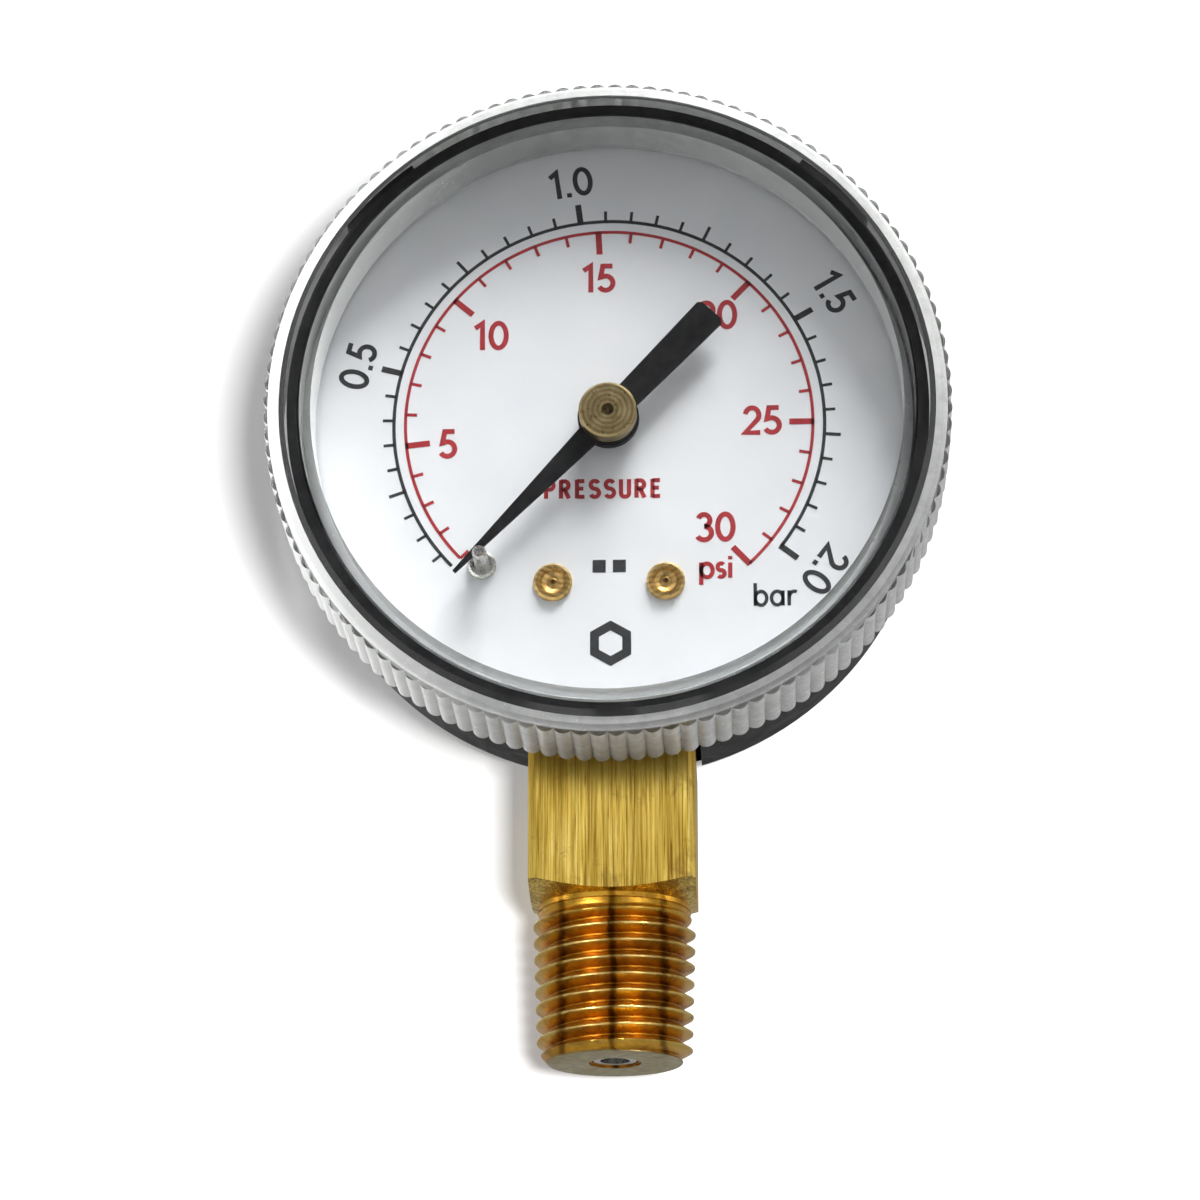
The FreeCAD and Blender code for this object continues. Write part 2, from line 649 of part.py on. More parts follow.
def make_pointer():
    blade = padded("PointerBlade", [
        ("TipLength", "TipHalf"), ("0", "NeckHalf"), ("0 - TailLength + 0.3", "TailHalf"),
        ("0 - TailLength", "TailHalf - 0.3"), ("0 - TailLength", "0 - TailHalf + 0.3"),
        ("0 - TailLength + 0.3", "0 - TailHalf"), ("0", "0 - NeckHalf"),
        ("TipLength", "0 - TipHalf")], "BladeHigh - BladeLow")
    in_head(blade, "0", "0", "BladeLow", POINTER_ANGLE)
    disc = rod("PointerDisc", "BushRadius - 0.1", "BladeLow", "BladeHigh")
    eye = rod("PointerEye", "StaffRadius", "BladeLow - 1", "BladeHigh + 1")
    keep(cut("Pointer", joined("PointerSolid", [blade, disc]), eye), "pointer")
    bush = turned("PointerBush", [
        ("StaffRadius", "0"), ("BushRadius - 0.5", "0"), ("BushRadius", "0.25"),
        ("BushRadius", "BladeLow - BushLow"), ("StaffRadius", "BladeLow - BushLow")])
    keep(in_head(bush, "0", "0", "BushLow"), "pointer_bush")
    hub = turned("PointerHub", [
        ("StaffRadius", "0"), ("HubRadius", "0"), ("HubRadius", "HubTop - BladeHigh - 0.2"),
        ("HubRadius - 0.2", "HubTop - BladeHigh"), ("0.5", "HubTop - BladeHigh"),
        ("0.2", "HubTop - BladeHigh - 0.3"), ("0", "HubTop - BladeHigh - 0.3"),
        ("0", "HubTop - BladeHigh - 0.5"), ("StaffRadius", "HubTop - BladeHigh - 0.5")])
    keep(in_head(hub, "0", "0", "BladeHigh"), "pointer_hub")


# ---- dial ----------------------------------------------------------------------------------

def make_dial():
    plate = rod("DialPlate", "DialRadius", "DialBack", "DialFront")
    holes = [rod("DialStaffHole", "DialHole", "DialBack - 1", "DialFront + 1"),
             rod("DialStopHole", "StopRadius", "DialBack - 1", "DialFront + 1",
                 "0 - StopAcross", "0 - StopDrop")]
    eyelets, spacers = [], []
    for side, across in (("Left", "0 - EyeletAcross"), ("Right", "EyeletAcross")):
        holes.append(rod("DialEyeletHole" + side, "EyeletShank", "DialBack - 1", "DialFront + 1",
                         across, "0 - EyeletDrop"))
        length = "DialFront - CaseBack - 4"
        eyelet = turned("Eyelet" + side, [
            ("0", "0"), ("EyeletShank", "0"), ("EyeletShank", length), ("EyeletRadius", length),
            ("EyeletRadius", length + " + 0.25"), ("EyeletRadius - 0.2", length + " + 0.5"),
            ("EyeletRadius - 0.5", length + " + 0.5"), ("EyeletRadius - 0.7", length + " + 0.2"),
            ("0.55", length + " + 0.05"), ("0.3", length + " + 0.2"), ("0.2", length + " + 0.2"),
            ("0.2", length + " - 0.5"), ("0", length + " - 0.5")])
        eyelets.append(in_head(eyelet, across, "0 - EyeletDrop", "CaseBack + 4"))
        spacer = turned("Spacer" + side, [
            ("EyeletShank + 0.05", "0"), ("EyeletRadius", "0"),
            ("EyeletRadius", "DialBack - CaseBack - 0.5*HeadSquare"),
            ("EyeletShank + 0.05", "DialBack - CaseBack - 0.5*HeadSquare")])
        spacers.append(in_head(spacer, across, "0 - EyeletDrop", "CaseBack + 0.5*HeadSquare"))
    keep(cut("Dial", plate, *holes), "dial")
    keep(group("DialEyelets", eyelets), "dial_eyelets")
    keep(group("DialSpacers", spacers), "dial_spacers")
    thickness = "DialFront - DialBack"
    stop = turned("StopPin", [
        ("0", "0"), ("StopRadius + 0.3", "0"), ("StopRadius", "0.3"), ("StopRadius", thickness + " + 0.3"),
        ("StopCollar", thickness + " + 0.3"), ("StopCollar", thickness + " + 0.7"),
        ("StopCollar - 0.2", thickness + " + 0.9"), ("StopRadius", thickness + " + 0.9"),
        ("StopRadius", "StopTop - DialBack - 0.1"), ("StopRadius - 0.15", "StopTop - DialBack + 0.3"),
        ("0", "StopTop - DialBack + 0.3")])
    keep(in_head(stop, "0 - StopAcross", "0 - StopDrop", "DialBack - 0.3"), "stop_pin")


# ---- case ----------------------------------------------------------------------------------

def make_case():
    shell = turned("CaseShell", [
        ("0", "0"), ("CaseRadius", "0"), ("CaseRadius", "RimLevel"),
        ("CaseRadius - SheetThickness", "RimLevel"), ("CaseRadius - SheetThickness", "SheetThickness"),
        ("0", "SheetThickness")])
    rounded("CaseCornerInside", shell, [("CaseRadius - SheetThickness", "SheetThickness")],
            "CaseCorner - SheetThickness")
    rounded("CaseCornerOutside", shell, [("CaseRadius", "0")], "CaseCorner")
    in_head(shell)
    ears = [ring_part("Ear%d" % middle, "CaseRadius - 0.5*SheetThickness", "EarRadius", "EarLow",
                      "EarHigh", "EarAngle", middle - SIZES["EarAngle"] / 2)
            for middle in CASE_EAR_ANGLES]
    slot = block("SocketSlot", "0 - SlotHalf", "SlotHalf", "CaseBack - RimLevel - 1",
                 "CaseBack - SheetThickness", "DialCentre - CaseRadius - 2", "DialCentre - 20")
    holes = [slot, rod("VentHole", "VentRadius", "0 - 1", "SheetThickness + 1", "0", "VentUp")]
    screws = []
    for index, drop in enumerate(("ScrewLower", "ScrewUpper")):
        place = ("0", "0 - " + drop)
        holes.append(rod("CaseHole%d" % index, "ScrewHoleRadius", "0 - 1", "SheetThickness + 1", *place))
        screw = turned("CaseScrewBlank%d" % index, [
            ("0", "0"), ("ScrewHeadRadius - 0.4", "0"), ("ScrewHeadRadius", "0.35"),
            ("ScrewHeadRadius", "ScrewHeadHeight"), ("ScrewRadius", "ScrewHeadHeight"),
            ("ScrewRadius", "ScrewHeadHeight + SheetThickness + ScrewGrip - 0.2"),
            ("0", "ScrewHeadHeight + SheetThickness + ScrewGrip - 0.2")])
        in_head(screw, place[0], place[1], "0 - ScrewHeadHeight")
        slots = []
        for name, wide, high in (("Wide", "ScrewRecess", "ScrewRecessWidth"),
                                 ("Tall", "ScrewRecessWidth", "ScrewRecess")):
            recess = doc.addObject("Part::Box", "Recess%s%d" % (name, index))
            bind(recess, Length=wide, Width=high, Height="2")
            slots.append(in_head(recess, "0 - 0.5*" + wide, place[1] + " - 0.5*" + high,
                                 "0 - 2*ScrewHeadHeight"))
        screws.append(cut("CaseScrew%d" % index, screw, *slots))
    keep(cut("Case", joined("CaseSolid", [shell] + ears), *holes), "case")
    keep(group("CaseScrews", screws), "case_screws")
    plug = turned("VentPlug", [
        ("0", "0"), ("VentRadius + VentFlange - 0.3", "0"), ("VentRadius + VentFlange", "0.3"),
        ("VentRadius + VentFlange", "VentFlangeHeight"), ("VentRadius", "VentFlangeHeight"),
        ("VentRadius", "VentFlangeHeight + SheetThickness"),
        ("VentRadius + 0.5", "VentFlangeHeight + SheetThickness"),
        ("VentRadius + 0.2", "2*VentFlangeHeight + SheetThickness"),
        ("0", "2*VentFlangeHeight + SheetThickness")])
    keep(in_head(plug, "0", "VentUp", "0 - VentFlangeHeight"), "vent_plug")


# ---- lens ----------------------------------------------------------------------------------

def make_lens():
    cup = turned("LensCup", [
        ("0", "WindowBack - SkirtBack"), ("0", "WindowFront - SkirtBack"),
        ("WindowRadius", "WindowFront - SkirtBack"),
        ("WindowRadius + 0.5", "WindowFront - SkirtBack - 0.5"),
        ("ShoulderRadius", "WindowFront - SkirtBack - 0.65"),
        ("SkirtRoot", "ScallopFront - SkirtBack"), ("SkirtRoot", "0"), ("SkirtInner", "0"),
        ("SkirtInner", "WindowBack - SkirtBack")])
    in_head(cup, "0", "0", "SkirtBack")
    rim = scalloped_wire(SIZES["SkirtRoot"], SIZES["ScallopHeight"], SCALLOPS)
    scallops = cut("Scallops", plate_from("ScallopBlank", rim, "SkirtBack", "ScallopFront - 0.3"),
                   rod("ScallopBore", "SkirtInner + 0.2", "SkirtBack - 1", "ScallopFront + 1"))
    collar = cut("Collar", rod("CollarBlank", "CollarOuter", "CollarLow", "WindowBack + 0.2"),
                 rod("CollarBore", "CollarInner", "CollarLow - 1", "WindowBack + 1"))
    lugs = [ring_part("Lug%d" % middle, "LugInner", "SkirtInner + 0.2", "SkirtBack",
                      "SkirtBack + LugThickness", "LugAngle", middle - SIZES["LugAngle"] / 2)
            for middle in LENS_LUG_ANGLES]
    keep(joined("Lens", [cup, scallops, collar] + lugs), "lens")
    gasket = turned("Gasket", [
        ("GasketInner", "0"), ("GasketOuter", "0"), ("GasketOuter", "GasketTop - RimLevel"),
        ("GasketInner", "GasketTop - RimLevel")])
    keep(in_head(gasket, "0", "0", "RimLevel"), "lens_gasket")


# ---- build, check and write ----------------------------------------------------------------

def check_document():
    doc.recompute()
    for obj in doc.Objects:
        faults = {"Invalid", "Error"}.intersection(obj.State)
        if faults:
            raise RuntimeError("%s is %s" % (obj.Name, ", ".join(faults)))
    for obj in subparts:
        if obj.Shape.isNull() or not obj.Shape.isValid() or not obj.Shape.Solids:
            raise RuntimeError("%s has no valid solid" % obj.Label)


def write_parts():
    os.makedirs("parts", exist_ok=True)
    for obj in subparts:
        obj.Shape.exportStep("parts/%s.step" % obj.Label)
        box = obj.Shape.BoundBox
        print("%-22s solids %2d  volume %9.3f  y %7.2f..%6.2f  z %6.2f..%6.2f" % (
            obj.Label, len(obj.Shape.Solids), obj.Shape.Volume, box.YMin, box.YMax, box.ZMin, box.ZMax))


make_socket()
make_tube()
make_movement()
make_sector()
make_link()
make_pinion()
make_pointer()
make_dial()
make_case()
make_lens()
check_document()
write_parts()
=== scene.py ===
import math

import bmesh
import bpy
from mathutils import Matrix, Quaternion, Vector


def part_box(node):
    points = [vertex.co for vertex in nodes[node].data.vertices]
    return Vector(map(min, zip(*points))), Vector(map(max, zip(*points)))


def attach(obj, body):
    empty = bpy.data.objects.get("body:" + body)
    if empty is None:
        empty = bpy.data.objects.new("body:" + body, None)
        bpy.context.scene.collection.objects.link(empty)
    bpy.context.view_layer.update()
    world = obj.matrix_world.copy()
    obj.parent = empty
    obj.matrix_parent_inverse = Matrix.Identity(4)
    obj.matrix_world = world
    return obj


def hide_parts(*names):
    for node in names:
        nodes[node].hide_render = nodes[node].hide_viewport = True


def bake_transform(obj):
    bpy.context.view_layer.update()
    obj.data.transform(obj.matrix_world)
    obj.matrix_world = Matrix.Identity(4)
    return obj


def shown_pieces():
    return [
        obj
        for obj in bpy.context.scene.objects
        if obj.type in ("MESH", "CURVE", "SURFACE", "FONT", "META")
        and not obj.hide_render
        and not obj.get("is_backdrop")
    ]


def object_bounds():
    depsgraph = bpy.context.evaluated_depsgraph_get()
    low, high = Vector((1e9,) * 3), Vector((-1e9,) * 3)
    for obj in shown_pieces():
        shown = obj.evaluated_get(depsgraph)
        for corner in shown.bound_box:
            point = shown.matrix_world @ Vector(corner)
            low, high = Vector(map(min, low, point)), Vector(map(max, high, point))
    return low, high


# Looks for a small bottom-connection pressure gauge. Lengths are given in millimetres and turned
# into metres by MM. The dial faces -Y, and "across, up" are measured from the dial's centre.

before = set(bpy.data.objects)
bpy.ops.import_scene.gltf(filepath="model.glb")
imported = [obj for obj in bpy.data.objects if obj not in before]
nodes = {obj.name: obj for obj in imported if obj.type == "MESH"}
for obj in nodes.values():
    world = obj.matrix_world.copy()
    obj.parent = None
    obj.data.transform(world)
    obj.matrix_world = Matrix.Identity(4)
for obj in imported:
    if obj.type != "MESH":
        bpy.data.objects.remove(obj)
cad_low, cad_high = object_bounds()

MM = 0.001
MERGE = 1e-4            # points closer than this are one point
DIAL_UP = 53.0          # height of the dial's centre above the stem's lower end
DIAL_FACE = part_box("dial")[0].y / MM

# the stem's tapered thread, 18 turns to the inch
PITCH = 1.4111
CREST_RADIUS = 6.55
THREAD_DEPTH = 1.0
ROOT_RADIUS = CREST_RADIUS - THREAD_DEPTH
TAPER = 1 / 32


def placed(name, data):
    """An object with this data, linked to the scene."""
    thing = bpy.data.objects.new(name, data)
    bpy.context.scene.collection.objects.link(thing)
    return thing


def dress(mesh, *materials):
    """Give a mesh these materials in place of its own."""
    mesh.materials.clear()
    for material in materials:
        mesh.materials.append(material)


def round_off(mesh, sharp_deg):
    """Smooth shading, with edges above this angle left sharp."""
    mesh.shade_smooth()
    mesh.set_sharp_from_angle(angle=math.radians(sharp_deg))


# ---- node trees ----------------------------------------------------------------------------

class Nodes:
    """A node tree, written as expressions."""

    def __init__(self, tree):
        self.tree = tree

    def add(self, kind, settings=None, **sockets):
        node = self.tree.nodes.new(kind)
        for name, choice in (settings or {}).items():
            setattr(node, name, choice)
        for name, value in sockets.items():
            self.feed(node.inputs[name.replace("_", " ")], value)
        return node

    def feed(self, socket, value):
        if isinstance(value, bpy.types.NodeSocket):
            self.tree.links.new(value, socket)
        else:
            socket.default_value = value

    def ramp(self, factor, stops):
        node = self.add("ShaderNodeValToRGB", Fac=factor)
        while len(node.color_ramp.elements) < len(stops):
            node.color_ramp.elements.new(0.5)
        for element, (position, colour) in zip(node.color_ramp.elements, stops):
            element.position = position
            if not hasattr(colour, "__len__"):
                colour = (colour, colour, colour)
            element.color = (*colour, 1)
        return node.outputs["Color"]

    def maths(self, operation, first, second=0.0):
        node = self.add("ShaderNodeMath", {"operation": operation})
        self.feed(node.inputs[0], first)
        self.feed(node.inputs[1], second)
        return node.outputs[0]

    def along(self, axis, vector):
        return self.add("ShaderNodeSeparateXYZ", Vector=vector).outputs[axis]

    def shaders(self, factor, first, second):
        """One shader, or the other where the factor is 1."""
        node = self.add("ShaderNodeMixShader", Fac=factor)
        self.feed(node.inputs[1], first)
        self.feed(node.inputs[2], second)
        return node.outputs[0]


class Look(Nodes):
    """A Principled material whose numbers are constants and whose detail comes from textures."""

    def __init__(self, name, **constants):
        self.material = bpy.data.materials.new(name)
        self.material.use_nodes = True
        super().__init__(self.material.node_tree)
        self.shader = self.tree.nodes["Principled BSDF"]
        for socket, number in constants.items():
            self.shader.inputs[socket.replace("_", " ")].default_value = number

    def coords(self, per_mm=(1, 1, 1), centre=(0, 0, 0)):
        """Object coordinates in millimetres about a centre, scaled along each axis."""
        place = self.add("ShaderNodeTexCoord").outputs["Object"]
        scale = [factor / MM for factor in per_mm]
        shift = [-middle * factor for middle, factor in zip(centre, per_mm)]
        return self.add("ShaderNodeMapping", Vector=place, Scale=scale,
                        Location=shift).outputs["Vector"]

    def reach(self, vector, counted):
        """Distance from an axis; counted is 1 for each direction across that axis."""
        across = self.add("ShaderNodeVectorMath", {"operation": "MULTIPLY"})
        self.feed(across.inputs[0], vector)
        self.feed(across.inputs[1], counted)
        length = self.add("ShaderNodeVectorMath", {"operation": "LENGTH"})
        self.feed(length.inputs[0], across.outputs[0])
        return length.outputs["Value"]

    def noise(self, vector, scale, detail=4.0, roughness=0.55, distortion=0.0):
        return self.add("ShaderNodeTexNoise", Vector=vector, Scale=scale, Detail=detail,
                        Roughness=roughness, Distortion=distortion).outputs["Fac"]

    def mixed(self, factor, first, second, blend="MIX"):
        node = self.add("ShaderNodeMix", {"data_type": "RGBA", "blend_type": blend})
        self.feed(node.inputs[0], factor)
        self.feed(node.inputs[6], first)
        self.feed(node.inputs[7], second)
        return node.outputs[2]

    def bump(self, height, depth_mm, strength=1.0, normal=None):
        node = self.add("ShaderNodeBump", Height=height, Distance=depth_mm * MM, Strength=strength)
        if normal is not None:
            self.feed(node.inputs["Normal"], normal)
        return node.outputs["Normal"]

    def set(self, **sockets):
        for name, value in sockets.items():
            self.feed(self.shader.inputs[name.replace("_", " ")], value)
        return self

    def show(self, shader):
        """Use this shader as the surface."""
        self.feed(self.tree.nodes["Material Output"].inputs["Surface"], shader)
        return self


def rgb(red, green, blue):
    return (red, green, blue, 1)


# ---- materials -----------------------------------------------------------------------------

BAR_SPAN = 30.0         # the darker band near the case, painted shadow of the head with some tarnish, is placed as a part of this height


def brushed_brass():
    """Drawn brass bar: fine lines along the bar, a few deep scores and brown stains."""
    look = Look("brass_bar_drawn", Metallic=1.0, Anisotropic=0.5)
    fine = look.noise(look.coords((5, 5, 0.10)), 1.0, 5, 0.65)
    broad = look.noise(look.coords((1.3, 1.3, 0.03)), 1.0, 3)
    score = look.noise(look.coords((2.6, 2.6, 0.16), (3, 0, 0)), 1.0, 2)
    stain = look.noise(look.coords((0.34, 0.34, 0.3)), 1.0, 6, 0.7, 0.6)
    tone = look.ramp(fine, [(0.36, (0.36, 0.21, 0.03)), (0.5, (0.76, 0.52, 0.09)),
                            (0.64, (0.97, 0.76, 0.24))])
    wide = look.ramp(broad, [(0.38, (0.58, 0.54, 0.42)), (0.60, (1.0, 1.0, 1.0))])
    tone = look.mixed(0.8, tone, wide, "MULTIPLY")
    dark = look.ramp(score, [(0.26, (0.32, 0.20, 0.08)), (0.34, (1.0, 1.0, 1.0))])
    tone = look.mixed(0.75, tone, dark, "MULTIPLY")
    brown = look.ramp(stain, [(0.56, 0.0), (0.72, 0.75)])
    tone = look.mixed(brown, tone, rgb(0.26, 0.14, 0.03))
    # painted shadow under the lens head, partly tarnish: a darker band near the case
    height = look.along("Z", look.coords())
    ragged = look.maths("ADD", height, look.maths("MULTIPLY", broad, 3.0))
    near_case_shade_and_tarnish = look.ramp(look.maths("DIVIDE", ragged, BAR_SPAN), [(0.80, 0.0), (0.88, 0.6)])
    tone = look.mixed(near_case_shade_and_tarnish, tone, rgb(0.34, 0.20, 0.03))
    rough = look.ramp(fine, [(0.3, 0.40), (0.7, 0.24)])
    return look.set(Base_Color=tone, Roughness=rough,
                    Normal=look.bump(fine, 0.03, 0.7, look.bump(score, 0.05, 0.4))).material


REFLECTION_BAND_GAP = 4.3        # between the dark bands of painted reflection down the thread
THREAD_HALF = 6.8       # half the thread's width, for the painted reflection tint at its sides
END_SHARPNESS = 8.0     # per mm: how fast the end face's tone gives way to the thread's


def cut_brass():
    """Machined brass: brown in the roots from cutting fluid and painted shade, crests lighter as a
    painted highlight.
    """
    look = Look("brass_thread_cut", Metallic=1.0)
    place = look.coords()
    across, height = look.along("X", place), look.along("Z", place)
    untapered = look.maths("SUBTRACT", look.reach(place, (1, 1, 0)),
                           look.maths("MULTIPLY", height, TAPER))
    above_root = look.maths("SUBTRACT", untapered, ROOT_RADIUS)
    # painted shade in the thread roots and painted highlight on the crests, with some cutting-fluid
    # brown
    tone = look.ramp(above_root, [(0.0, (0.50, 0.25, 0.03)), (0.40, (0.72, 0.43, 0.06)),
                                  (0.86, (0.62, 0.44, 0.11)), (0.97, (0.80, 0.64, 0.28))])
    stain = look.noise(look.coords((0.30, 0.30, 0.42)), 1.0, 5, 0.65, 0.8)
    brown = look.ramp(stain, [(0.36, (0.42, 0.28, 0.14)), (0.50, (1.0, 0.82, 0.50)),
                              (0.66, (1.0, 0.98, 0.86))])
    tone = look.mixed(0.7, tone, brown, "MULTIPLY")
    # painted reflection: dark bands down the thread, where it would mirror dark parts of the room
    wander = look.maths("MULTIPLY", look.maths("SUBTRACT", stain, 0.5), 1.2)
    reflection_bands = look.maths("DIVIDE", look.maths("ADD", across, wander), REFLECTION_BAND_GAP)
    off_reflection_band = look.maths("SUBTRACT", reflection_bands, look.maths("ROUND", reflection_bands))
    painted_reflection_band = look.ramp(look.maths("ABSOLUTE", off_reflection_band),
                       [(0.03, (0.30, 0.23, 0.14)), (0.10, (0.95, 0.90, 0.80)), (0.20, (1, 1, 1))])
    tone = look.mixed(0.9, tone, painted_reflection_band, "MULTIPLY")
    # painted reflection: a slightly yellower tone towards the thread's sides
    side = look.maths("DIVIDE", look.maths("ABSOLUTE", across), THREAD_HALF)
    side_reflection_tint = look.ramp(side, [(0.5, (1, 1, 1)), (0.95, (1.0, 1.0, 0.92))])
    tone = look.mixed(1.0, tone, side_reflection_tint, "MULTIPLY")
    patches = look.ramp(look.noise(look.coords((1.1, 1.1, 1.1)), 1.0, 4), [(0.4, 0.0), (0.65, 1.0)])
    # the downward end face is darker: painted shade, over blotchy patches of its own tone
    shaded_end_face = look.mixed(patches, rgb(0.30, 0.235, 0.085), rgb(0.44, 0.36, 0.15))
    off_end = look.ramp(look.maths("MULTIPLY", height, END_SHARPNESS), [(0.0, 0.0), (1.0, 1.0)])
    tone = look.mixed(off_end, shaded_end_face, tone)
    chatter = look.noise(look.coords((1.2, 1.2, 9)), 1.0, 4)
    specks = look.noise(look.coords((6, 6, 6)), 1.0, 3)
    rough = look.ramp(stain, [(0.3, 0.42), (0.7, 0.22)])
    return look.set(Base_Color=tone, Roughness=rough,
                    Normal=look.bump(chatter, 0.02, 0.6, look.bump(specks, 0.02, 0.35))).material


def turned_brass(name, ring_scale, tint):
    """Lathe-turned brass: rings round the staff, a centre dimple darkened as painted shade, a
    little tarnish.
    """
    look = Look(name, Metallic=1.0, Anisotropic=0.45)
    place = look.coords(centre=(0, 0, DIAL_UP))
    rings = look.add("ShaderNodeTexWave", {"wave_type": "RINGS", "rings_direction": "Y"},
                     Vector=place, Scale=ring_scale, Distortion=0.35, Detail=3.0,
                     Detail_Scale=2.0).outputs["Fac"]
    grain = look.noise(place, 5.0, 5, 0.6)
    cloud = look.noise(place, 0.9, 4, 0.6, 0.4)
    light = tuple(min(1.0, part * 1.25 + 0.05) for part in tint)
    shade = tuple(part * 0.80 for part in tint)
    tone = look.ramp(cloud, [(0.32, shade), (0.50, tint), (0.72, light)])
    ringed = look.ramp(rings, [(0.15, (0.60, 0.57, 0.52)), (0.75, (1.0, 1.0, 1.0))])
    tone = look.mixed(0.75, tone, ringed, "MULTIPLY")
    # painted shade in the centre dimple, with a lighter painted highlight at its very middle
    dimple = look.ramp(look.reach(place, (1, 0, 1)),
                       [(0.0, (0.75, 0.70, 0.60)), (0.18, (0.20, 0.18, 0.15)),
                        (0.46, (0.24, 0.21, 0.17)), (0.58, (1.0, 1.0, 1.0))])
    tone = look.mixed(1.0, tone, dimple, "MULTIPLY")
    rough = look.ramp(grain, [(0.35, 0.26), (0.65, 0.40)])
    return look.set(Base_Color=tone, Roughness=rough,
                    Normal=look.bump(rings, 0.012, 0.6, look.bump(grain, 0.008, 0.4))).material


def stamped_brass():
    """Rolled brass sheet and rod inside the head: soft grain, slight tarnish, fine scuffs."""
    look = Look("brass_sheet_stamped", Metallic=1.0)
    place = look.coords()
    grain = look.noise(look.coords((6, 6, 0.8)), 1.0, 5, 0.6)
    cloud = look.noise(place, 0.5, 5, 0.6, 0.5)
    tone = look.ramp(cloud, [(0.34, (0.42, 0.27, 0.08)), (0.52, (0.74, 0.54, 0.20)),
                             (0.72, (0.88, 0.71, 0.34))])
    rough = look.ramp(grain, [(0.3, 0.28), (0.7, 0.44)])
    return look.set(Base_Color=tone, Roughness=rough, Normal=look.bump(grain, 0.01, 0.5)).material


def plain_metal(name, dark, light, rough, grain_per_mm, pits=0.0):
    """Plated or drawn metal with a fine grain, cloudy tone and optional dull pits."""
    look = Look(name, Metallic=1.0)
    place = look.coords()
    cloud = look.noise(place, 0.8, 5, 0.6, 0.4)
    grain = look.noise(place, grain_per_mm, 4, 0.6)
    tone = look.ramp(cloud, [(0.36, dark), (0.66, light)])
    if pits:
        spots = look.ramp(look.noise(place, 3.5, 2), [(0.28, pits), (0.36, 0.0)])
        tone = look.mixed(spots, tone, rgb(0.10, 0.09, 0.08))
    span = look.ramp(grain, [(0.3, rough * 0.75), (0.7, min(1.0, rough * 1.35))])
    return look.set(Base_Color=tone, Roughness=span, Normal=look.bump(grain, 0.01, 0.45)).material


def black_enamel():
    """Sprayed black enamel: slight orange peel, dust and a few rubbed spots."""
    look = Look("case_black_enamel", Metallic=0.0, Specular_IOR_Level=0.04)
    place = look.coords()
    peel = look.noise(place, 2.2, 3, 0.5)
    dust = look.noise(place, 9.0, 4, 0.7)
    rubbed = look.noise(place, 0.45, 6, 0.7, 0.7)
    tone = look.ramp(rubbed, [(0.40, (0.009, 0.009, 0.010)), (0.66, (0.020, 0.020, 0.021)),
                              (0.76, (0.050, 0.050, 0.050))])
    fleck = look.ramp(dust, [(0.70, 0.0), (0.78, 0.5)])
    tone = look.mixed(fleck, tone, rgb(0.09, 0.09, 0.09))
    rough = look.ramp(rubbed, [(0.35, 0.24), (0.7, 0.46)])
    return look.set(Base_Color=tone, Roughness=rough, Normal=look.bump(peel, 0.02, 0.5)).material


def flat_black(name, rough, tooth_per_mm):
    """Matt black paint or moulded rubber with a fine tooth."""
    look = Look(name, Metallic=0.0, Specular_IOR_Level=0.05)
    place = look.coords()
    tooth = look.noise(place, tooth_per_mm, 4, 0.6)
    cloud = look.noise(place, 0.7, 4, 0.6)
    tone = look.ramp(cloud, [(0.35, (0.008, 0.008, 0.009)), (0.7, (0.020, 0.020, 0.021))])
    span = look.ramp(tooth, [(0.3, rough * 0.85), (0.7, min(1.0, rough * 1.15))])
    return look.set(Base_Color=tone, Roughness=span, Normal=look.bump(tooth, 0.012, 0.5)).material


def white_enamel():
    """Screen-printing white on an aluminium dial: almost even, with a trace of mottling."""
    look = Look("dial_white_enamel", Metallic=0.0)
    place = look.coords()
    cloud = look.noise(place, 0.25, 5, 0.6)
    peel = look.noise(place, 3.2, 3, 0.5)
    specks = look.noise(place, 2.4, 2, 0.6)
    tone = look.ramp(cloud, [(0.3, (0.760, 0.772, 0.805)), (0.7, (0.800, 0.810, 0.838))])
    dirt = look.ramp(specks, [(0.17, 0.45), (0.20, 0.0)])
    tone = look.mixed(dirt, tone, rgb(0.45, 0.45, 0.46))
    rough = look.ramp(peel, [(0.3, 0.34), (0.7, 0.44)])
    return look.set(Base_Color=tone, Roughness=rough, Normal=look.bump(peel, 0.004, 0.4)).material


def ink(name, dark, light):
    """Screen-printed ink, thinner in places."""
    look = Look(name, Metallic=0.0)
    place = look.coords()
    cloud = look.noise(place, 1.6, 5, 0.65)
    tone = look.ramp(cloud, [(0.35, dark), (0.7, light)])
    rough = look.ramp(look.noise(place, 7.0), [(0.3, 0.42), (0.7, 0.56)])
    return look.set(Base_Color=tone, Roughness=rough, Normal=look.bump(cloud, 0.004, 0.4)).material


def clear_plastic():
    """Moulded clear plastic: faint ripples and haze. Shadow rays pass straight through."""
    look = Look("lens_clear_plastic", Metallic=0.0, IOR=1.49, Transmission_Weight=1.0)
    place = look.coords()
    ripple = look.noise(place, 0.22, 2, 0.4)
    haze = look.noise(place, 2.5, 5, 0.65)
    tone = look.ramp(ripple, [(0.3, (0.980, 0.988, 0.984)), (0.7, (0.995, 0.998, 0.996))])
    rough = look.ramp(haze, [(0.35, 0.012), (0.75, 0.05)])
    look.set(Base_Color=tone, Roughness=rough, Normal=look.bump(ripple, 0.05, 0.25))
    passing = look.add("ShaderNodeBsdfTransparent", Color=rgb(0.96, 0.965, 0.96)).outputs[0]
    shadow_ray = look.add("ShaderNodeLightPath").outputs["Is Shadow Ray"]
    return look.show(look.shaders(shadow_ray, look.shader.outputs[0], passing)).material


PAINTED_HIGHLIGHT_REACH = -30.0     # across: painted highlight, the moulding is whiter and less clear towards this side
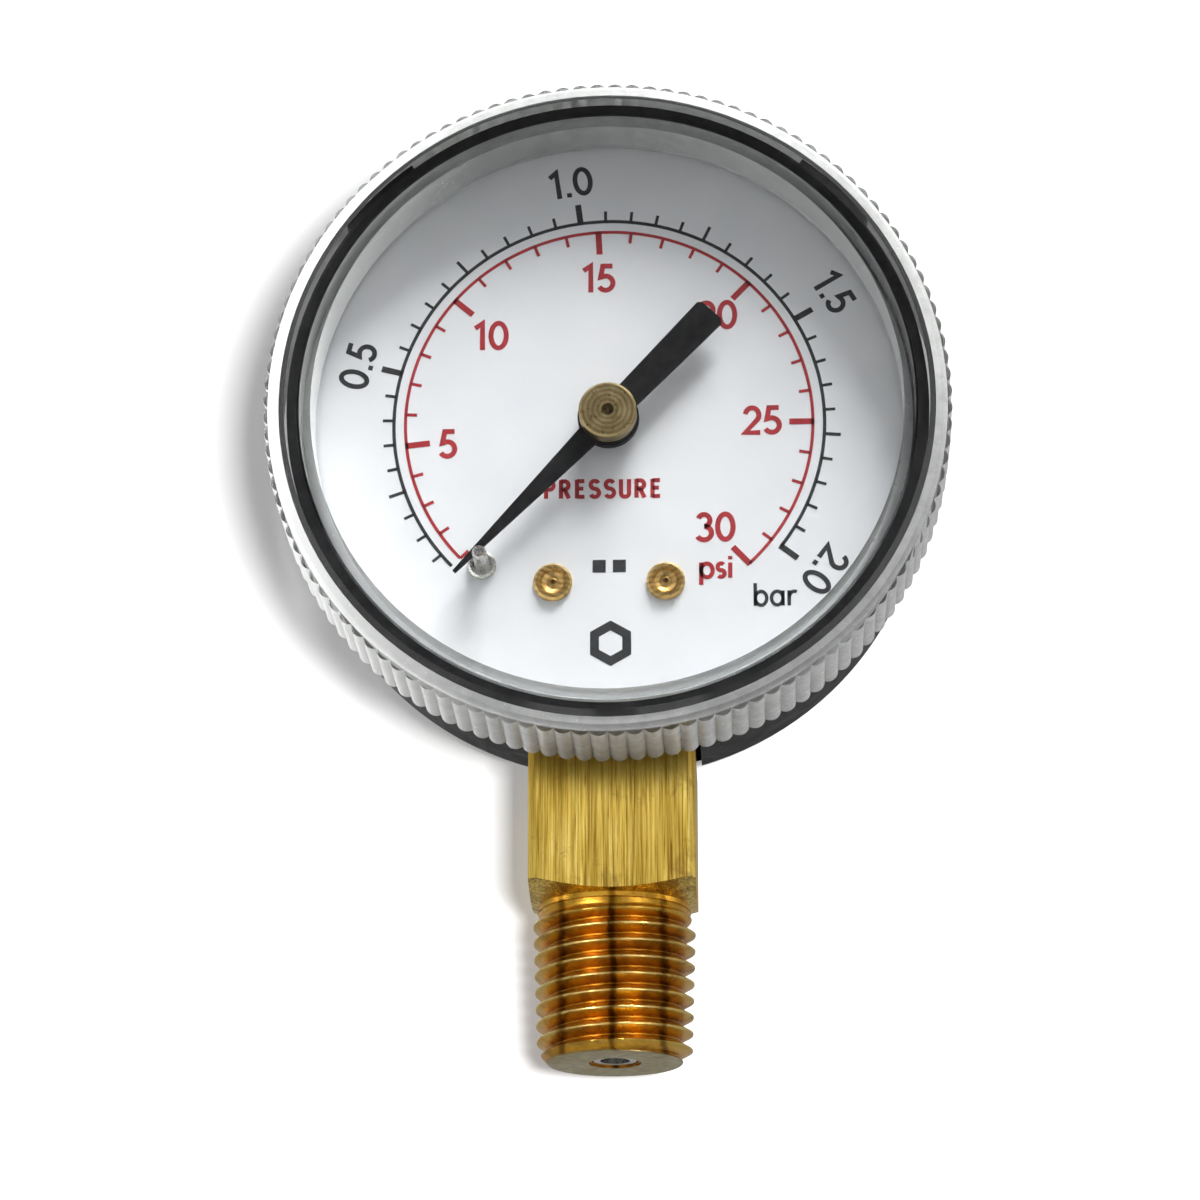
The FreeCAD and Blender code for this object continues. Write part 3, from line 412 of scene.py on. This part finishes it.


def frosted_plastic(name, clear):
    """The same plastic where the mould was left matt: cloudy white, only partly clear, and painted
    whiter towards the left as a highlight.
    """
    look = Look(name, Metallic=0.0, IOR=1.49)
    place = look.coords()
    cloud = look.noise(place, 0.8, 5, 0.6, 0.4)
    grain = look.noise(place, 6.0, 4, 0.6)
    tone = look.ramp(cloud, [(0.35, (0.68, 0.69, 0.68)), (0.7, (0.86, 0.87, 0.86))])
    rough = look.ramp(grain, [(0.3, 0.14), (0.7, 0.28)])
    # painted highlight: whiter and less clear towards the left
    left = look.maths("DIVIDE", look.along("X", place), PAINTED_HIGHLIGHT_REACH)
    left_painted_highlight = look.ramp(left, [(0.35, 0.0), (0.8, 1.0)])
    tone = look.mixed(left_painted_highlight, tone, rgb(0.94, 0.95, 0.94))
    through = look.ramp(left, [(0.35, clear), (0.8, clear * 0.45)])
    return look.set(Base_Color=tone, Roughness=rough, Transmission_Weight=through,
                    Normal=look.bump(grain, 0.02, 0.4)).material


BRASS_BAR = brushed_brass()
BRASS_THREAD = cut_brass()
BRASS_TURNED = turned_brass("brass_hub_turned", 0.75, (0.45, 0.34, 0.16))
BRASS_EYELET = turned_brass("brass_eyelet", 0.7, (0.70, 0.46, 0.16))
BRASS_SHEET = stamped_brass()
BLACK_CASE = black_enamel()
BLACK_POINTER = flat_black("pointer_black_paint", 0.42, 6.0)
BLACK_RUBBER = flat_black("rubber_black", 0.72, 4.0)
WHITE_DIAL = white_enamel()
INK_BLACK = ink("ink_black", (0.008, 0.009, 0.011), (0.022, 0.023, 0.026))
INK_RED = ink("ink_red", (0.31, 0.007, 0.014), (0.42, 0.013, 0.022))
CLEAR = clear_plastic()
FROSTED = frosted_plastic("lens_frosted_plastic", 0.50)
HAZY = frosted_plastic("lens_hazy_plastic", 0.72)
NICKEL = plain_metal("nickel_plate", (0.50, 0.49, 0.46), (0.74, 0.73, 0.70), 0.26, 6.0, 0.35)
ZINC = plain_metal("zinc_plate", (0.46, 0.46, 0.44), (0.72, 0.71, 0.66), 0.36, 8.0, 0.4)
BRONZE_TUBE = plain_metal("bronze_tube", (0.42, 0.23, 0.10), (0.68, 0.44, 0.22), 0.30, 5.0)
BRONZE_SPRING = plain_metal("bronze_spring", (0.48, 0.28, 0.12), (0.72, 0.48, 0.24), 0.24, 9.0)

NODE_LOOKS = {
    "case": BLACK_CASE, "lens": CLEAR, "lens_gasket": BLACK_RUBBER, "vent_plug": BLACK_RUBBER,
    "dial": WHITE_DIAL, "dial_eyelets": BRASS_EYELET, "dial_spacers": BRASS_SHEET,
    "stop_pin": NICKEL, "pointer": BLACK_POINTER, "pointer_bush": BLACK_POINTER,
    "pointer_hub": BRASS_TURNED, "socket": BRASS_BAR, "restrictor": NICKEL,
    "bourdon_tube": BRONZE_TUBE, "tube_end_piece": BRASS_SHEET, "tip_pivot_screw": NICKEL,
    "link": NICKEL, "sector_pivot_pin": NICKEL, "sector_gear": BRASS_SHEET,
    "sector_arbor": NICKEL, "pinion": NICKEL, "hairspring": BRONZE_SPRING,
    "hairspring_collet": BRASS_SHEET, "hairspring_stud": BRASS_SHEET,
    "movement_back_plate": BRASS_SHEET, "movement_front_plate": BRASS_SHEET,
    "movement_bushes": BRONZE_TUBE, "movement_pillars": BRASS_SHEET,
    "movement_screws": ZINC, "case_screws": ZINC,
}
for node_name, node in nodes.items():
    dress(node.data, NODE_LOOKS[node_name])


# ---- meshes --------------------------------------------------------------------------------

def new_piece(name, points, faces, material, sharp_deg=None):
    """A closed mesh from points in millimetres, faceted unless an angle for sharp edges is set."""
    mesh = bpy.data.meshes.new(name)
    mesh.from_pydata([Vector(point) * MM for point in points], [], faces)
    work = bmesh.new()
    work.from_mesh(mesh)
    bmesh.ops.remove_doubles(work, verts=work.verts, dist=MERGE * MM)
    bmesh.ops.recalc_face_normals(work, faces=work.faces)
    work.to_mesh(mesh)
    work.free()
    dress(mesh, material)
    if sharp_deg is not None:
        round_off(mesh, sharp_deg)
    return placed(name, mesh)


def closed_grid(rows, columns):
    """Quads between rings of points, with the last ring joined to the first."""
    faces = []
    for row in range(rows):
        below, above = row * columns, (row + 1) % rows * columns
        for column in range(columns):
            beside = (column + 1) % columns
            faces.append((below + column, below + beside, above + beside, above + column))
    return faces


# ---- socket: the bar from CAD, with a true helical thread ----------------------------------

SLEEVE_INNER = 5.2      # the thread is a sleeve on the bar's core
THREAD_TOP = 12.8
BAR_LOW = 13.3          # the drawn faces start here
CUTTER_OUTER = 9.0
CUTTER_LOW = -1.0
FIRST_CREST = 1.0       # height of the first crest
CREST_FLAT = 0.10       # this and the flank are parts of half a pitch
FLANK = 0.80
RUNOUT = 0.9            # the thread fades out over this length, this far under its top
RUNOUT_GAP = 0.35
RELIEF_RADIUS = 6.4
CHAMFER_CLEAR = 0.12
CHAMFER_SLOPE = 0.95
THREAD_STEPS = 144
ROWS_PER_PITCH = 22
TURNS = [2 * math.pi * k / THREAD_STEPS for k in range(THREAD_STEPS)]


def thread_radius(turn, height):
    """A right-hand V thread with narrow flats, cut to a taper, chamfered at the start."""
    phase = (height - FIRST_CREST) / PITCH - turn / (2 * math.pi)
    off_crest = abs(phase - round(phase)) * 2
    cut = min(1.0, max(0.0, (off_crest - CREST_FLAT) / FLANK))
    fade = min(1.0, max(0.0, (THREAD_TOP - RUNOUT_GAP - height) / RUNOUT))
    crest = CREST_RADIUS + (height - FIRST_CREST) * TAPER
    crest = crest * fade + RELIEF_RADIUS * (1 - fade)
    chamfer = ROOT_RADIUS + CHAMFER_CLEAR + height * CHAMFER_SLOPE
    return min(crest - THREAD_DEPTH * cut * fade, chamfer)


def ring_at(height, radii):
    return [(radius * math.cos(turn), radius * math.sin(turn), height)
            for turn, radius in zip(TURNS, radii)]


def plain_ring(height, radius):
    return ring_at(height, [radius] * THREAD_STEPS)


def make_thread():
    count = int(THREAD_TOP / PITCH * ROWS_PER_PITCH)
    points = plain_ring(THREAD_TOP, SLEEVE_INNER) + plain_ring(0.0, SLEEVE_INNER)
    for row in range(count + 1):
        height = THREAD_TOP * row / count
        points += ring_at(height, [thread_radius(turn, height) for turn in TURNS])
    faces = closed_grid(count + 3, THREAD_STEPS)
    thread = new_piece("socket_thread", points, faces, BRASS_THREAD, sharp_deg=50)
    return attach(thread, "root")


def make_bar():
    """The socket without the ring of metal that the helical thread takes the place of."""
    piece = placed("socket_bar", nodes["socket"].data.copy())
    weld = piece.modifiers.new("weld", "WELD")
    weld.merge_threshold = MERGE * MM
    rings = (plain_ring(CUTTER_LOW, SLEEVE_INNER) + plain_ring(CUTTER_LOW, CUTTER_OUTER)
             + plain_ring(THREAD_TOP, CUTTER_OUTER) + plain_ring(THREAD_TOP, SLEEVE_INNER))
    cutter = new_piece("cutter", rings, closed_grid(4, THREAD_STEPS), BRASS_THREAD, sharp_deg=35)
    boolean = piece.modifiers.new("make_room", "BOOLEAN")
    boolean.operation = "DIFFERENCE"
    boolean.solver = "EXACT"
    boolean.object = cutter
    bpy.context.view_layer.update()
    shaped = piece.evaluated_get(bpy.context.evaluated_depsgraph_get())
    mesh = bpy.data.meshes.new_from_object(shaped)
    piece.modifiers.clear()
    piece.data = mesh
    bpy.data.objects.remove(cutter)
    dress(mesh, BRASS_BAR, BRASS_THREAD)
    for face in mesh.polygons:
        face.material_index = 1 if face.center.z < BAR_LOW * MM else 0
    if "custom_normal" in mesh.attributes:
        mesh.attributes.remove(mesh.attributes["custom_normal"])
    round_off(mesh, 30)
    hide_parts("socket")
    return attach(piece, "root")


make_thread()
make_bar()


# ---- lens: clear window and collar, matt shoulder and skirt --------------------------------

WINDOW_REACH = 27.3     # the moulding is matt outside this distance from the middle
COLLAR_INNER, COLLAR_OUTER = 24.5, 26.2
COLLAR_BACK = -15.0     # the window's faces lie in front of this


def make_lens():
    piece = placed("lens_moulding", nodes["lens"].data.copy())
    mesh = piece.data
    dress(mesh, CLEAR, FROSTED, HAZY)
    for face in mesh.polygons:
        corners = [mesh.vertices[number].co for number in face.vertices]
        reach = min(math.hypot(corner.x, corner.z - DIAL_UP * MM) for corner in corners) / MM
        back = max(corner.y for corner in corners) / MM
        if reach > WINDOW_REACH and face.normal.y >= -0.99:
            face.material_index = 1
        elif COLLAR_INNER < reach < COLLAR_OUTER and back > COLLAR_BACK:
            face.material_index = 2
    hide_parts("lens")
    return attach(piece, "lens")


make_lens()


# ---- Bourdon tube: a copy of the CAD tube, baked into world coordinates --------------------


def make_tube():
    piece = placed("bourdon_tube_flexing", nodes["bourdon_tube"].data.copy())
    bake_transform(piece)
    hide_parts("bourdon_tube")


make_tube()


# ---- dial printing -------------------------------------------------------------------------

INK_BACK = DIAL_FACE + 0.005    # the ink starts just under the enamel
INK_FRONT = DIAL_FACE - 0.02
PSI_ZERO_DEG = 232.8            # turning anticlockwise from +X
DEG_PER_PSI = 9.33
PSI_PER_BAR = 14.5
RED_RADIUS = 17.28
BLACK_RADIUS = 18.27


class Print:
    """Thin raised ink, collected as closed strips and written as one mesh."""

    def __init__(self, name, material):
        self.name, self.material = name, material
        self.points, self.faces = [], []

    def outline(self, left, right, closed=False):
        """A strip between two lines of (across, up) points."""
        count, first = len(left), len(self.points)
        for a, b in zip(left, right):
            for level in (INK_FRONT, INK_BACK):
                self.points.append((a[0], level, DIAL_UP + a[1]))
                self.points.append((b[0], level, DIAL_UP + b[1]))
        ring = (0, 1, 3, 2)
        for k in range(count if closed else count - 1):
            here, there = first + 4 * k, first + 4 * ((k + 1) % count)
            for n in range(4):
                a, b = ring[n], ring[(n + 1) % 4]
                self.faces.append((here + a, here + b, there + b, there + a))
        if not closed:
            for end in (first, first + 4 * (count - 1)):
                self.faces.append(tuple(end + n for n in ring))

    def stroke(self, line, width, closed=False):
        """A line of even width with square ends."""
        left, right = [], []
        count = len(line)
        for k, point in enumerate(line):
            before = line[(k - 1) % count] if closed or k else line[k]
            after = line[(k + 1) % count] if closed or k < count - 1 else line[k]
            arriving = Vector(point) - Vector(before)
            leaving = Vector(after) - Vector(point)
            if arriving.length < 1e-9:
                arriving = leaving
            if leaving.length < 1e-9:
                leaving = arriving
            a, b = arriving.normalized(), leaving.normalized()
            side = Vector((-(a + b).y, (a + b).x)).normalized()
            half = width / 2 / max(0.5, side.dot(Vector((-a.y, a.x))))
            left.append(Vector(point) + side * half)
            right.append(Vector(point) - side * half)
        self.outline(left, right, closed)

    def tick(self, degrees, inner, outer, width):
        out = Vector((math.cos(math.radians(degrees)), math.sin(math.radians(degrees))))
        self.stroke([out * inner, out * outer], width)

    def finish(self):
        piece = new_piece(self.name, self.points, self.faces, self.material)
        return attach(piece, "root")


def arc(middle, radii, start, end, steps=20):
    """Points on an ellipse, from one angle to another."""
    turns = [math.radians(start + (end - start) * k / steps) for k in range(steps + 1)]
    return [(middle[0] + radii[0] * math.cos(t), middle[1] + radii[1] * math.sin(t)) for t in turns]


# Each character is (width, strokes), in units of its height; a stroke is (points, closed).
GLYPHS = {
    "0": (0.66, [(arc((0.33, 0.5), (0.25, 0.43), 0, 354, 36), True)]),
    "1": (0.46, [([(0.06, 0.76), (0.30, 0.93), (0.30, 0.0)], False)]),
    "2": (0.62, [(arc((0.31, 0.67), (0.22, 0.25), 172, -38)
                  + [(0.08, 0.07), (0.57, 0.07)], False)]),
    "3": (0.60, [(arc((0.28, 0.72), (0.19, 0.20), 160, -88), False),
                 (arc((0.28, 0.29), (0.24, 0.23), 88, -152), False)]),
    "5": (0.62, [([(0.52, 0.92), (0.20, 0.92), (0.13, 0.53)]
                  + arc((0.29, 0.32), (0.24, 0.25), 122, -150)[2:], False)]),
    ".": (0.26, [([(0.13, 0.0), (0.13, 0.15)], False)]),
    "p": (0.66, [([(0.10, -0.30), (0.10, 0.68)], False),
                 (arc((0.34, 0.33), (0.24, 0.30), 0, 350, 28), True)]),
    "s": (0.46, [(arc((0.23, 0.48), (0.14, 0.15), 40, 250, 14)
                  + arc((0.23, 0.19), (0.15, 0.15), 70, -140, 14), False)]),
    "i": (0.24, [([(0.12, 0.0), (0.12, 0.66)], False), ([(0.12, 0.80), (0.12, 0.95)], False)]),
    "b": (0.66, [([(0.10, 0.0), (0.10, 1.0)], False),
                 (arc((0.34, 0.33), (0.24, 0.30), 0, 350, 28), True)]),
    "a": (0.68, [(arc((0.32, 0.33), (0.24, 0.30), 0, 350, 28), True),
                 ([(0.56, 0.0), (0.56, 0.66)], False)]),
    "r": (0.42, [([(0.10, 0.0), (0.10, 0.66)], False),
                 (arc((0.32, 0.38), (0.21, 0.24), 180, 62, 10), False)]),
    "P": (0.50, [([(0.10, 0.0), (0.10, 1.0)], False),
                 ([(0.10, 0.93), (0.24, 0.93)] + arc((0.24, 0.71), (0.16, 0.22), 80, -80, 12)
                  + [(0.10, 0.49)], False)]),
    "R": (0.54, [([(0.10, 0.0), (0.10, 1.0)], False),
                 ([(0.10, 0.93), (0.24, 0.93)] + arc((0.24, 0.71), (0.16, 0.22), 80, -80, 12)
                  + [(0.10, 0.49)], False),
                 ([(0.24, 0.49), (0.42, 0.0)], False)]),
    "E": (0.46, [([(0.10, 0.0), (0.10, 1.0)], False), ([(0.10, 0.93), (0.40, 0.93)], False),
                 ([(0.10, 0.52), (0.36, 0.52)], False), ([(0.10, 0.07), (0.40, 0.07)], False)]),
    "S": (0.50, [(arc((0.25, 0.72), (0.16, 0.21), 25, 262, 16)
                  + arc((0.25, 0.28), (0.17, 0.22), 82, -155, 16), False)]),
    "U": (0.52, [([(0.10, 1.0), (0.10, 0.24)] + arc((0.26, 0.24), (0.16, 0.18), 190, 350, 12)
                  + [(0.42, 0.24), (0.42, 1.0)], False)]),
}


def write(ink_print, words, centre, height, weight, turn_deg=0.0, squeeze=1.0, gap=0.04):
    """Characters drawn with strokes, centred on a point and turned about it."""
    advance = [(GLYPHS[letter][0] + gap) * squeeze for letter in words]
    pen = -sum(advance) / 2
    turn = Matrix.Rotation(math.radians(turn_deg), 2)
    for letter, wide in zip(words, advance):
        for line, closed in GLYPHS[letter][1]:
            drawn = [Vector(centre) + turn @ Vector(((pen + x * squeeze) * height,
                                                     (y - 0.5) * height)) for x, y in line]
            ink_print.stroke(drawn, weight, closed)
        pen += wide


def make_printing():
    """Two scales with their numbers; a tick reaches inside and outside its circle."""
    red = Print("dial_scale_red", INK_RED)
    black = Print("dial_scale_black", INK_BLACK)

    def at(psi):
        return PSI_ZERO_DEG - DEG_PER_PSI * psi

    red.stroke(arc((0, 0), (RED_RADIUS, RED_RADIUS), at(1.0), at(30.0), 180), 0.27)
    for psi in range(1, 31):
        inner, outer, width = (0.95, 0.0, 0.27) if psi % 5 else (2.0, 0.1, 0.52)
        red.tick(at(psi), RED_RADIUS - inner, RED_RADIUS + outer, width)

    full = 2.0 * PSI_PER_BAR
    black.stroke(arc((0, 0), (BLACK_RADIUS, BLACK_RADIUS), at(1.0), at(full), 180), 0.29)
    for step in range(1, 41):
        degrees = at(step * 0.05 * PSI_PER_BAR)
        if degrees > at(1.0) + 0.5:
            continue
        inner, outer, width = 0.0, 0.95, 0.26
        if step % 10 == 0:
            inner, outer, width = 0.1, 1.75, 0.52
        elif step % 5 == 0:
            outer, width = 1.4, 0.28
        black.tick(degrees, BLACK_RADIUS - inner, BLACK_RADIUS + outer, width)

    red_places = {"5": (-13.6, -1.7), "10": (-10.0, 8.0), "15": (-0.8, 13.1), "20": (9.3, 9.6),
                  "25": (13.05, 0.05), "30": (9.0, -9.4)}
    for words, place in red_places.items():
        write(red, words, place, 2.6, 0.44)
    black_places = {"0.5": (-21.4, 5.5), "1.0": (-3.2, 21.9), "1.5": (19.3, 11.5),
                    "2.0": (18.1, -13.4)}
    for words, place in black_places.items():
        upright = math.degrees(math.atan2(place[1], place[0])) - 90
        write(black, words, place, 2.6, 0.42, upright)
    write(red, "psi", (9.0, -12.9), 2.0, 0.36)
    write(black, "bar", (13.9, -15.4), 2.0, 0.30)
    write(red, "PRESSURE", (-0.45, -5.9), 1.65, 0.36, squeeze=1.28, gap=0.10)

    # plain shapes where a dial usually has its marks
    for across in (-0.85, 0.85):
        black.stroke([(across - 0.55, -12.75), (across + 0.55, -12.75)], 1.1)
    black.stroke(arc((0.1, -19.5), (1.55, 1.55), 30, 330, 5), 0.75, True)
    red.finish()
    black.finish()


make_printing()


# ---- surface it lies on, light and camera --------------------------------------------------

SHEET_GAP = 0.3
SHEET_HALF = 900.0


def make_surface():
    """A plain white sheet behind the case, seen from its front only, and an even dimmer grey in
    reflections as painted shade.
    """
    level = cad_high.y / MM + SHEET_GAP
    corners = [(across * SHEET_HALF, level, up * SHEET_HALF)
               for across, up in ((-1, -1), (1, -1), (1, 1), (-1, 1))]
    mesh = bpy.data.meshes.new("surface")
    mesh.from_pydata([Vector(corner) * MM for corner in corners], [], [(0, 1, 2, 3)])
    surface = placed("surface", mesh)
    look = Look("surface_white", Roughness=0.9, Emission_Strength=0.34)
    look.set(Base_Color=rgb(0.46, 0.46, 0.46), Emission_Color=rgb(1, 1, 1))
    ray = look.add("ShaderNodeLightPath").outputs
    behind = look.add("ShaderNodeNewGeometry").outputs["Backfacing"]
    unseen = look.maths("MAXIMUM", behind, ray["Is Shadow Ray"])
    # painted shade: in reflections the sheet is an even dimmer grey, standing in for shade near the
    # case
    shade_in_reflections = look.add("ShaderNodeEmission", Color=rgb(1, 1, 1), Strength=0.42).outputs[0]
    seen = look.shaders(ray["Is Glossy Ray"], look.shader.outputs[0], shade_in_reflections)
    clear = look.add("ShaderNodeBsdfTransparent").outputs[0]
    dress(mesh, look.show(look.shaders(unseen, seen, clear)).material)
    surface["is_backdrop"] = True
    return surface


# brightness of the surroundings, by direction in degrees from the front
PANELS = [(-180, 0.75), (-72, 0.62), (-64, 0.16), (-56, 0.16), (-50, 1.0), (-20, 1.0), (-14, 0.10),
          (14, 0.10), (20, 1.0), (50, 1.0), (56, 0.16), (64, 0.16), (72, 0.62), (180, 0.75)]


def make_world():
    """Soft studio surroundings: pale panels at the sides, darker gaps between them."""
    world = bpy.data.worlds.new("studio")
    bpy.context.scene.world = world
    world.use_nodes = True
    world.cycles.sampling_method = "NONE"
    studio = Nodes(world.node_tree)
    place = studio.add("ShaderNodeTexCoord").outputs["Generated"]
    ahead = studio.maths("MULTIPLY", studio.along("Y", place), -1.0)
    turn = studio.maths("ARCTAN2", studio.along("X", place), ahead)
    span = studio.add("ShaderNodeMapRange", Value=turn, From_Min=-math.pi, From_Max=math.pi)
    panels = studio.ramp(span.outputs["Result"], [
        ((degrees + 180) / 360, (level, level, level * 1.01)) for degrees, level in PANELS])
    ray = studio.add("ShaderNodeLightPath").outputs
    strength = studio.add("ShaderNodeMapRange", Value=ray["Diffuse Depth"],
                          To_Min=0.85, To_Max=0.14)
    around = world.node_tree.nodes["Background"]
    studio.feed(around.inputs["Color"], panels)
    studio.feed(around.inputs["Strength"], strength.outputs["Result"])
    backdrop = studio.add("ShaderNodeBackground", Color=rgb(0.93, 0.93, 0.93)).outputs[0]
    chosen = studio.shaders(ray["Is Camera Ray"], around.outputs[0], backdrop)
    studio.feed(world.node_tree.nodes["World Output"].inputs["Surface"], chosen)


def area_light(name, place, target, size, watts, receiver, matt_only):
    """A soft panel that lights one collection; a matt-only panel leaves no highlights."""
    lamp = bpy.data.lights.new(name, "AREA")
    lamp.shape = "RECTANGLE"
    lamp.size, lamp.size_y = size[0] * MM, size[1] * MM
    lamp.energy = watts
    holder = placed(name, lamp)
    holder.location = Vector(place) * MM
    aim = (Vector(target) - Vector(place)).normalized()
    holder.rotation_mode = "QUATERNION"
    holder.rotation_quaternion = aim.to_track_quat("-Z", "Y")
    holder.light_linking.receiver_collection = receiver
    holder.visible_camera = False
    holder.visible_transmission = False
    holder.visible_glossy = not matt_only


def gathered(name, members):
    group = bpy.data.collections.new(name)
    for member in members:
        group.objects.link(member)
    return group


def make_camera():
    camera = bpy.data.cameras.new("camera")
    camera.sensor_width = 36.0
    camera.lens = 138.03
    camera.clip_start, camera.clip_end = 0.01, 10.0
    holder = placed("camera", camera)
    holder.location = Vector((13.09, -379.07, -75.41)) * MM
    tilt = Vector([math.radians(part) for part in (16.992, 0.417, 2.155)])
    holder.rotation_mode = "QUATERNION"
    holder.rotation_quaternion = (Quaternion(tilt.normalized(), tilt.length)
                                  @ Quaternion((1, 0, 0), math.radians(90)))
    bpy.context.scene.camera = holder


surface = make_surface()
make_world()
pieces = {piece.name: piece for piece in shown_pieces()}
lit = {
    "gauge": gathered("gauge", pieces.values()),
    "ground": gathered("ground", [surface]),
    "lens": gathered("lens_only", [pieces["lens_moulding"]]),
    "bar": gathered("bar_only", [pieces["socket_bar"]]),
    "thread": gathered("thread_only", [pieces["socket_thread"]]),
}
# name, place, target, size, watts, what it lights
LAMPS = [
    ("key", (110, -145, 440), (0, 0, 50), (240, 180), 4.35, "gauge"),
    ("front", (150, -420, -60), (0, 0, 40), (140, 140), 0.04, "gauge"),
    ("rear", (-150, 420, 200), (0, 0, 45), (300, 300), 4.0, "gauge"),
    ("surface_wash", (132, -640, -100), (0, 0, 40), (110, 110), 9.5, "ground"),
    ("lens_left", (-330, -150, 60), (0, 0, 53), (70, 300), 1.6, "lens"),
    ("lens_right", (330, -110, 30), (0, 0, 53), (70, 300), 0.5, "lens"),
    ("bar_front", (-12, -480, 150), (0, 0, 20), (220, 160), 0.145, "bar"),
    ("bar_left", (-400, -30, 20), (0, 0, 20), (90, 90), 0.3, "bar"),
    ("bar_right", (400, -30, 20), (0, 0, 20), (90, 90), 0.3, "bar"),
    ("thread_left", (-210, -320, -60), (0, 0, 8), (70, 300), 0.80, "thread"),
    ("thread_right", (250, -300, -60), (0, 0, 8), (50, 300), 0.42, "thread"),
]
for name, place, target, size, watts, receiver in LAMPS:
    area_light(name, place, target, size, watts, lit[receiver], matt_only=receiver == "lens")
make_camera()
bpy.context.scene.view_settings.view_transform = "Standard"
